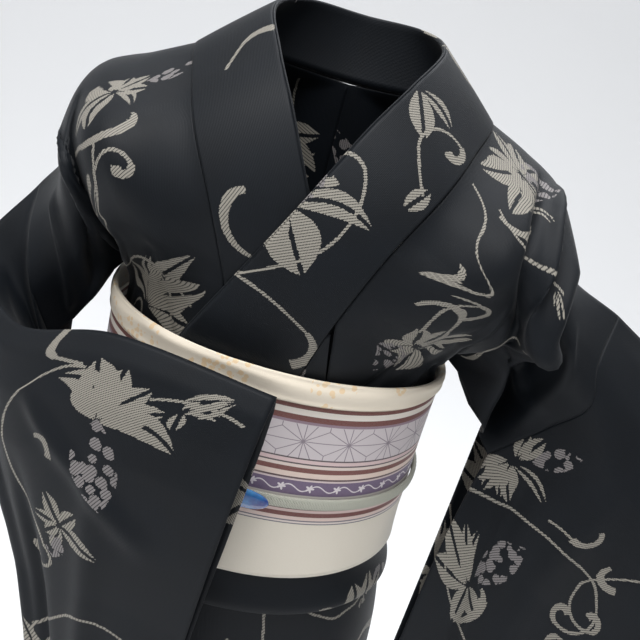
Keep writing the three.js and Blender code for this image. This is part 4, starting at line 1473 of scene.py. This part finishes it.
def leaf_group() -> bpy.types.NodeTree:
    """Makes the mask of one leaf.

    Along it runs x from 0 to 1. The half width is x (1 - x), in units of twice the leaf's width, the
    bend moves the leaf sideways by the same curve, and a thin rib along the middle is left dark.
    """
    numbers = ("bend", "rib")
    made, tree, given = group(
        "leaf",
        (("place", "Vector"), ("base", "Vector"), ("along", "Vector"), ("across", "Vector"))
        + tuple((n, "Float") for n in numbers),
    )
    off = tree.vector("SUBTRACT", given["place"], given["base"])
    x = tree.vector("DOT_PRODUCT", off, given["along"], out="Value")
    y = tree.vector("DOT_PRODUCT", off, given["across"], out="Value")
    half = tree.math("MULTIPLY", x, tree.math("SUBTRACT", 1.0, x))
    bent = tree.math("ABSOLUTE", tree.math("MULTIPLY_ADD", half, given["bend"], y))
    inside = tree.math("LESS_THAN", bent, half)
    mask = tree.math("MULTIPLY", inside, tree.math("GREATER_THAN", bent, given["rib"]))
    out = made.nodes.new("NodeGroupOutput")
    made.links.new(mask, out.inputs[0])
    return made


@dataclass
class Arabesque:
    """The dark silk with its woven ivory arabesque, as the finish of one panel."""

    layout: Layout
    ground: tuple = rgb(13, 18, 24)
    shade: tuple = rgb(8, 11, 15)
    ivory: tuple = rgb(156, 151, 140)
    mauve: tuple = rgb(130, 125, 126)
    step: float = 0.7

    def material(self, name: str, groups: dict) -> bpy.types.Material:
        """Makes the material.

        Args:
            name: Its name.
            groups: The arc and leaf masks.

        Returns:
            bpy.types.Material: The material.
        """
        mat, tree, shader = blank(name)
        place, raw = self._place(tree)
        figure = 0.0
        for kind, rows in (("arc", self._arcs()), ("leaf", self._leaves(self.layout.leaves, 0.055))):
            for values in rows:
                figure = tree.math("MAXIMUM", figure, self._use(mat, groups[kind], place, **values))
        dots = tree.node("TexVoronoi", "Distance", {"Vector": place, "Scale": 1 / 9.0})
        clump = tree.math("LESS_THAN", dots, 0.5)
        florets = 0.0
        for values in self._leaves(self.layout.florets, 0.0):
            mask = self._use(mat, groups["leaf"], place, **values)
            florets = tree.math("MAXIMUM", florets, mask)
        florets = tree.math("MULTIPLY", florets, clump)
        threads = tree.node("VectorMath", 0, {0: raw, "Scale": 1 / self.step}, operation="SCALE")
        warp, weft, _ = tree.split(threads)
        slot = tree.math("ADD", tree.math("FLOOR", warp), tree.math("FLOOR", weft))
        hatch = tree.math("LESS_THAN", tree.math("FRACT", tree.math("MULTIPLY", slot, 1 / 4)), 0.6)
        thread = tree.math("MULTIPLY", tree.math("MAXIMUM", figure, florets), hatch)
        rib = tree.math("SINE", tree.math("MULTIPLY", warp, 2 * math.pi * self.step / 1.1))
        soft = tree.noise(raw, 0.02, 3)
        ground = tree.colour(tree.math("MULTIPLY_ADD", soft, 1.6, -0.4), self.shade, self.ground)
        # Painted highlight: the ground is mixed toward a lighter blue-grey on each rib of the weave, by the
        # same sine that lifts the bump
        ground = tree.colour(tree.math("MULTIPLY_ADD", rib, 0.09, 0.1), ground, rgb(27, 34, 42))
        fleck = tree.noise(raw, 0.6, 2)
        ivory = tree.colour(florets, self.ivory, self.mauve)
        ivory = tree.colour(tree.math("MULTIPLY", fleck, 0.5), ivory, rgb(128, 124, 117))
        colour = tree.colour(thread, ground, ivory)
        height = tree.math("ADD", tree.math("MULTIPLY", rib, 0.3), tree.math("MULTIPLY", hatch, 0.25))
        bump = tree.node("Bump", 0, {"Strength": 0.3, "Distance": 0.0004, "Height": height})
        rough = tree.math("MULTIPLY_ADD", soft, 0.15, 0.46)
        tree.set(shader, {"Base Color": colour, "Normal": bump, "Roughness": rough})
        tree.set(shader, {"Specular IOR Level": 0.2, "Sheen Weight": 0.05, "Sheen Roughness": 0.4})
        return mat

    def _place(self, tree: Tree) -> tuple:
        """Returns the place on the flat cloth in millimetres, in whole threads and as it is."""
        u, v, _ = tree.split(tree.node("UVMap", uv_map="flat"))
        way = -1000.0 if self.layout.turned else 1000.0
        if self.layout.halves:
            sign = tree.math("SIGN", v)
            x = tree.math("MULTIPLY", tree.math("MULTIPLY", u, sign), 1000.0)
            y = tree.math("MULTIPLY", tree.math("ABSOLUTE", v), 1000.0)
        else:
            x, y = tree.math("MULTIPLY", u, way), tree.math("MULTIPLY", v, way)
        y = tree.math("WRAP", y, self.layout.start + self.layout.repeat, self.layout.start)
        raw = tree.node("CombineXYZ", inputs={0: x, 1: y})
        snapped = tree.vector("SNAP", raw, (self.step, self.step, 1.0))
        return snapped, raw

    @staticmethod
    def _use(mat: bpy.types.Material, made: bpy.types.NodeTree, place, **values) -> Socket:
        """Places one mask of a group."""
        node = mat.node_tree.nodes.new("ShaderNodeGroup")
        node.node_tree = made
        mat.node_tree.links.new(place, node.inputs["place"])
        for key, value in values.items():
            node.inputs[key].default_value = value
        return node.outputs[0]

    def _arcs(self) -> list[dict]:
        """Returns the values of each arc, drawn with a pen along each vine."""
        out = []
        for vine in self.layout.vines:
            x, y, heading = vine.x, vine.y, math.radians(vine.heading)
            for arc in vine.arcs:
                way = 1.0 if arc.turn > 0 else -1.0
                side = heading + way * math.pi / 2
                cx, cy = x + arc.radius * math.cos(side), y + arc.radius * math.sin(side)
                start = side + math.pi
                turn = abs(math.radians(arc.turn))
                out.append(
                    {
                        "centre": (cx, cy, 0),
                        "way": way,
                        "start": -way * start / (2 * math.pi),
                        "rate": 2 * math.pi / turn,
                        "radius": arc.radius,
                        "change": arc.radius * (arc.tighten - 1),
                        "width": arc.width / 2,
                        "grow": (arc.end - arc.width) / 2,
                    }
                )
                last = start + way * turn
                reach = arc.radius * arc.tighten
                x, y = cx + reach * math.cos(last), cy + reach * math.sin(last)
                heading += way * turn
        return out

    @staticmethod
    def _leaves(leaves: Sequence[Leaf], rib: float) -> list[dict]:
        """Returns the values of each leaf."""
        out = []
        for leaf in leaves:
            a = math.radians(leaf.angle)
            out.append(
                {
                    "base": (leaf.x, leaf.y, 0),
                    "along": (math.cos(a) / leaf.length, math.sin(a) / leaf.length, 0),
                    "across": (-math.sin(a) / (2.5 * leaf.width), math.cos(a) / (2.5 * leaf.width), 0),
                    "bend": leaf.bend * 2,
                    "rib": rib * 12 / leaf.width if rib else -1.0,
                }
            )
        return out


# The obi's stripes: where each ends, in shares of the band's height from its top, and its colour
STRIPES = (
    (0.008, rgb(228, 220, 205)),
    (0.03, rgb(112, 58, 56)),
    (0.062, rgb(240, 232, 222)),
    (0.092, rgb(112, 54, 52)),
    (0.107, rgb(146, 122, 138)),
    (0.292, rgb(212, 203, 206)),
    (0.3, rgb(78, 66, 74)),
    (0.32, rgb(222, 196, 196)),
    (0.328, rgb(80, 66, 72)),
    (0.345, rgb(228, 212, 204)),
    (0.372, rgb(116, 60, 58)),
    (0.4, rgb(232, 210, 198)),
    (0.41, rgb(84, 62, 68)),
    (0.42, rgb(214, 196, 196)),
    (0.5, rgb(104, 86, 120)),
    (0.575, rgb(206, 200, 196)),
    (0.584, rgb(70, 44, 50)),
    (0.6, rgb(222, 196, 192)),
    (0.625, rgb(110, 52, 52)),
    (0.645, rgb(226, 204, 196)),
    (0.652, rgb(110, 104, 116)),
    (0.662, rgb(226, 214, 208)),
    (0.668, rgb(112, 108, 118)),
    (10.0, rgb(229, 221, 206)),
)


@dataclass
class ObiCloth:
    """The cream obi with its bands of stripes, a band of hemp-leaf stars and a band of small flowers."""

    height: float = 155.0
    star: float = 36.0

    def material(self, name: str) -> bpy.types.Material:
        """Makes the material.

        Stars are the distances to four straight lines through each star's middle, mirrored by the
        absolute value of the place from it, and to the upright line between two stars.

        Args:
            name: Its name.

        Returns:
            bpy.types.Material: The material.
        """
        mat, tree, shader = blank(name)
        place = tree.split(tree.node("UVMap", uv_map="flat"))
        u, v = (tree.math("MULTIPLY", part, 1000.0) for part in place[:2])
        level = tree.math("MULTIPLY", v, 1 / self.height)
        colour = STRIPES[-1][1]
        for edge, tint in reversed(STRIPES[:-1]):
            colour = tree.colour(tree.math("LESS_THAN", level, edge), colour, tint)
        band = tree.between(level, 0.109, 0.292)
        stars = tree.math("MULTIPLY", self._stars(tree, u, v), band)
        colour = tree.colour(stars, colour, rgb(138, 126, 138))
        flowers = tree.math("MULTIPLY", self._flowers(tree, u, v), tree.between(level, 0.424, 0.498))
        colour = tree.colour(flowers, colour, rgb(226, 218, 222))
        stretched = tree.node("CombineXYZ", inputs={0: tree.math("MULTIPLY", u, 0.25), 1: v})
        thread = tree.noise(stretched, 2.2, 2)
        colour = tree.colour(tree.math("MULTIPLY_ADD", thread, 0.3, -0.05), colour, rgb(196, 186, 170))
        weft = tree.math("SINE", tree.math("MULTIPLY", v, 2 * math.pi / 0.9))
        height = tree.math("ADD", tree.math("MULTIPLY", weft, 0.3), thread)
        bump = tree.node("Bump", 0, {"Strength": 0.3, "Distance": 0.0003, "Height": height})
        tree.set(shader, {"Base Color": colour, "Normal": bump, "Roughness": 0.58})
        tree.set(shader, {"Specular IOR Level": 0.35, "Sheen Weight": 0.15, "Sheen Roughness": 0.4})
        return mat

    def _stars(self, tree: Tree, u, v) -> Socket:
        """Returns the lines of the hemp-leaf stars."""
        middle = 0.2 * self.height
        across = tree.math("PINGPONG", tree.math("ADD", u, 500.0), self.star / 2)
        up = tree.math("ABSOLUTE", tree.math("SUBTRACT", v, middle))
        lines = 0.0
        for angle in (0, 30, 60, 90):
            a = math.radians(angle)
            rise = tree.math("MULTIPLY", across, math.sin(a))
            run = tree.math("MULTIPLY", up, math.cos(a))
            off = tree.math("ABSOLUTE", tree.math("SUBTRACT", rise, run))
            lines = tree.math("MAXIMUM", lines, tree.math("LESS_THAN", off, 0.34))
        far = tree.math("SUBTRACT", self.star / 2, across)
        outer = tree.math("GREATER_THAN", up, self.star / 2 * math.tan(math.radians(30)))
        upright = tree.math("MULTIPLY", tree.math("LESS_THAN", far, 0.34), outer)
        lines = tree.math("MAXIMUM", lines, upright)
        return lines

    def _flowers(self, tree: Tree, u, v) -> Socket:
        """Returns the little flowers and the wavy stem between them."""
        middle = 0.46 * self.height
        near = tree.math("SUBTRACT", tree.math("WRAP", u, 22.0, 0.0), 11.0)
        up = tree.math("SUBTRACT", v, middle)
        angle = tree.math("ARCTAN2", up, near)
        petals = tree.math("MULTIPLY_ADD", tree.math("COSINE", tree.math("MULTIPLY", angle, 5.0)), 1.1, 2.6)
        place = tree.node("CombineXYZ", inputs={0: near, 1: up})
        flower = tree.math("LESS_THAN", tree.vector("LENGTH", place, out="Value"), petals)
        wave = tree.math("MULTIPLY", tree.math("SINE", tree.math("MULTIPLY", u, 2 * math.pi / 22.0)), 2.6)
        stem = tree.math("LESS_THAN", tree.math("ABSOLUTE", tree.math("SUBTRACT", up, wave)), 0.55)
        return tree.math("MAXIMUM", flower, stem)


def scarf_material() -> bpy.types.Material:
    """Makes the cream crepe with its faint orange spots."""
    mat, tree, shader = blank("scarf_crepe")
    place = tree.node("TexCoord", "Object")
    spots = tree.node("TexVoronoi", "Distance", {"Vector": place, "Scale": 190.0})
    patches = tree.noise(place, 26.0, 1)
    share = tree.math("MULTIPLY", tree.math("LESS_THAN", spots, 0.42), tree.between(patches, 0.54, 1.0))
    tint = tree.colour(tree.noise(place, 40.0), rgb(240, 196, 140), rgb(236, 214, 168))
    colour = tree.colour(tree.math("MULTIPLY", share, 0.7), rgb(240, 228, 208), tint)
    crepe = tree.noise(place, 1500.0, 3)
    bump = tree.node("Bump", 0, {"Strength": 0.35, "Distance": 0.0004, "Height": crepe})
    tree.set(shader, {"Base Color": colour, "Normal": bump, "Roughness": 0.62, "Sheen Weight": 0.2})
    return mat


def braid_material() -> bpy.types.Material:
    """Makes the pale grey-green braid with its fine slanting plaits."""
    mat, tree, shader = blank("cord_braid")
    u, v, _ = tree.split(tree.node("UVMap", uv_map="flat"))
    side = tree.math("PINGPONG", tree.math("MULTIPLY", v, 1000.0), 2.4)
    slant = tree.math("MULTIPLY_ADD", u, 1000.0, side)
    plait = tree.math("SINE", tree.math("MULTIPLY", slant, 2 * math.pi / 2.2))
    colour = tree.colour(tree.math("MULTIPLY_ADD", plait, 0.3, 0.4), rgb(162, 163, 148), rgb(208, 207, 194))
    bump = tree.node("Bump", 0, {"Strength": 0.5, "Distance": 0.0005, "Height": plait})
    tree.set(shader, {"Base Color": colour, "Normal": bump, "Roughness": 0.6})
    return mat


def glass_material() -> bpy.types.Material:
    """Makes the blue glass, deep at its ends and turquoise where it bulges, over pale swirls."""
    mat, tree, shader = blank("clip_glass")
    place = tree.node("TexCoord", "Object")
    swirl = tree.noise(place, 90.0, 4)
    colour = tree.colour(tree.math("MULTIPLY_ADD", swirl, 2.4, -0.8), rgb(4, 42, 132), rgb(22, 138, 205))
    tree.set(shader, {"Base Color": colour, "Roughness": 0.06, "Transmission Weight": 0.1})
    tree.set(shader, {"Coat Weight": 1.0, "Coat Roughness": 0.03})
    return mat


# Stage


@dataclass
class Stage:
    """The pale floor, the soft light and the camera."""

    roll: float = 15.6
    pitch: float = 21.0
    focal: float = 997 / 640
    paint: tuple = (0.9, 0.905, 0.91, 1)

    def build(self) -> None:
        """Makes the floor, three soft lights, the surroundings and the camera."""
        self._floor()
        self._lights()
        self._camera()

    def _floor(self) -> None:
        """Makes the floor, which runs back and curves up into a wall, with its paint."""
        reach, back, bend, top = 9.0, 2.6, 1.6, 7.0
        low = (HEM - 2) * MM
        turn = np.radians(np.linspace(0, 90, 24))
        y = np.concatenate([[-reach, back], back + bend * np.sin(turn[1:]), [back + bend]])
        z = np.concatenate([[low, low], low + bend * (1 - np.cos(turn[1:])), [top]])
        x = np.tile([-reach, reach], (len(y), 1))
        rows = np.stack([x, np.stack([y, y], 1), np.stack([z, z], 1)], axis=-1)
        k = 2 * np.arange(len(y) - 1)[:, None] + np.array([0, 1, 3, 2])
        mesh = bpy.data.meshes.new("floor")
        mesh.from_pydata(rows.reshape(-1, 3).tolist(), [], k.tolist())
        mesh.shade_smooth()
        floor = bpy.data.objects.new("floor", mesh)
        bpy.context.scene.collection.objects.link(floor)
        mat, tree, shader = blank("floor_paint")
        tree.set(shader, {"Base Color": self.paint, "Roughness": 0.95, "Specular IOR Level": 0.1})
        mesh.materials.append(mat)

    def _lights(self) -> None:
        """Adds the key, fill and back lights and a pale sky that is brightest overhead."""
        for name, place, size, power, colour in (
            ("key", (-0.5, -0.8, 2.3), 1.5, 62, (0.98, 0.985, 1.0)),
            ("fill", (-1.9, -1.0, 0.6), 1.2, 7, (1.0, 0.985, 0.96)),
            ("back", (0.3, 1.7, 1.9), 1.6, 30, (0.95, 0.97, 1.0)),
        ):
            data = bpy.data.lights.new(name, "AREA")
            data.size = size
            data.energy = power
            data.color = colour
            lamp = bpy.data.objects.new(name, data)
            lamp.location = place
            toward = Vector((0.0, 0.0, -0.35)) - Vector(place)
            lamp.rotation_euler = toward.to_track_quat("-Z", "Y").to_euler()
            bpy.context.scene.collection.objects.link(lamp)
        world = bpy.data.worlds.new("surroundings")
        world.use_nodes = True
        tree = Tree(world.node_tree)
        upward = tree.split(tree.node("TexCoord", "Generated"))[2]
        strength = tree.math("MULTIPLY_ADD", tree.math("MAXIMUM", upward, 0.0), 0.85, 0.34)
        light = {"Color": (0.83, 0.84, 0.86, 1), "Strength": strength}
        tree.set(world.node_tree.nodes["Background"], light)
        bpy.context.scene.world = world
        bpy.context.scene.view_settings.view_transform = "Standard"

    def _camera(self) -> None:
        """Adds the camera: close in front, above the chest, looking down and rolled."""
        data = bpy.data.cameras.new("camera")
        data.sensor_width = 36
        data.lens = data.sensor_width * self.focal
        data.clip_start = 0.05
        camera = bpy.data.objects.new("camera", data)
        camera.location = (0.03, -0.769, 0.066)
        forward = Vector((0.0, math.cos(math.radians(self.pitch)), -math.sin(math.radians(self.pitch))))
        look = forward.to_track_quat("-Z", "Y").to_matrix().to_4x4()
        roll = Matrix.Rotation(math.radians(self.roll), 4, "Z")
        camera.matrix_world = Matrix.Translation(camera.location) @ look @ roll
        bpy.context.scene.collection.objects.link(camera)
        bpy.context.scene.camera = camera


@dataclass(frozen=True)
class Held:
    """How a piece of cloth was cut and is held, with its flat size in metres."""

    flat: tuple[float, float]
    held: str
    rests_on: tuple[str, ...]
    area: float | None = None


SLOTS = {"obi": "obi_cloth", "scarf": "scarf_cloth", "cord": "cord_braid", "clip": "clip_glass"}


def finish(cloth: Cloth, material: bpy.types.Material, wall: float = CLOTH) -> bpy.types.Object:
    """Makes a piece's object, dresses it and gives it its wall and body.

    Args:
        cloth: The piece.
        material: Its finish.
        wall: Its wall in millimetres, or 0 for a closed form.

    Returns:
        bpy.types.Object: The object.
    """
    obj = cloth.shape()
    node = cloth.name.rsplit("_", 1)[0]
    obj.data.materials.append(material)
    if wall:
        thick(obj, wall)
    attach(obj, "root")
    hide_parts(node)
    SLOTS.get(node.split("_")[0], "kimono_cloth")
    log.info("%s: %d quads, %.3f square metres", cloth.name, len(cloth.faces), cloth.area)
    return obj


def main() -> None:
    """Builds and dresses the pieces in order."""
    logging.basicConfig(level=logging.INFO, format="%(message)s")
    groups = {"arc": arc_group(), "leaf": leaf_group()}
    silk = {
        name: Arabesque(layout).material("silk_" + name, groups)
        for name, layout in (
            ("body_left", LEFT_BODY),
            ("body_right", RIGHT_BODY),
            ("sleeve_left", LEFT_SLEEVE),
            ("sleeve_right", RIGHT_SLEEVE),
            ("collar", COLLAR),
        )
    }
    for side in Side:
        finish(Cloth(f"body_{side.word}_cloth", BodyPanel(side).patches()), silk[f"body_{side.word}"])
        finish(Cloth(f"overlap_{side.word}_cloth", OverlapPanel(side).patches()), silk[f"body_{side.word}"])
        finish(Sleeve(side).cloth(), silk[f"sleeve_{side.word}"])
    finish(Collar().over(), silk["collar"])
    finish(Collar().under(), silk["collar"])
    obi, cream = Obi(), ObiCloth().material("obi_weave")
    finish(obi.band(), cream, OBI_WALL)
    finish(obi.knot(), cream, 3.0)
    finish(obi.hanging(), cream, 3.0)
    finish(Ring("scarf_crepe", 40, 360).around(scarf_section), scarf_material(), 0)
    finish(Ring("cord_braid", 32, 900).around(cord_section), braid_material(), 0)
    finish(Clip().build(), glass_material(), 0)
    Stage().build()


if __name__ == "__main__":
    main()
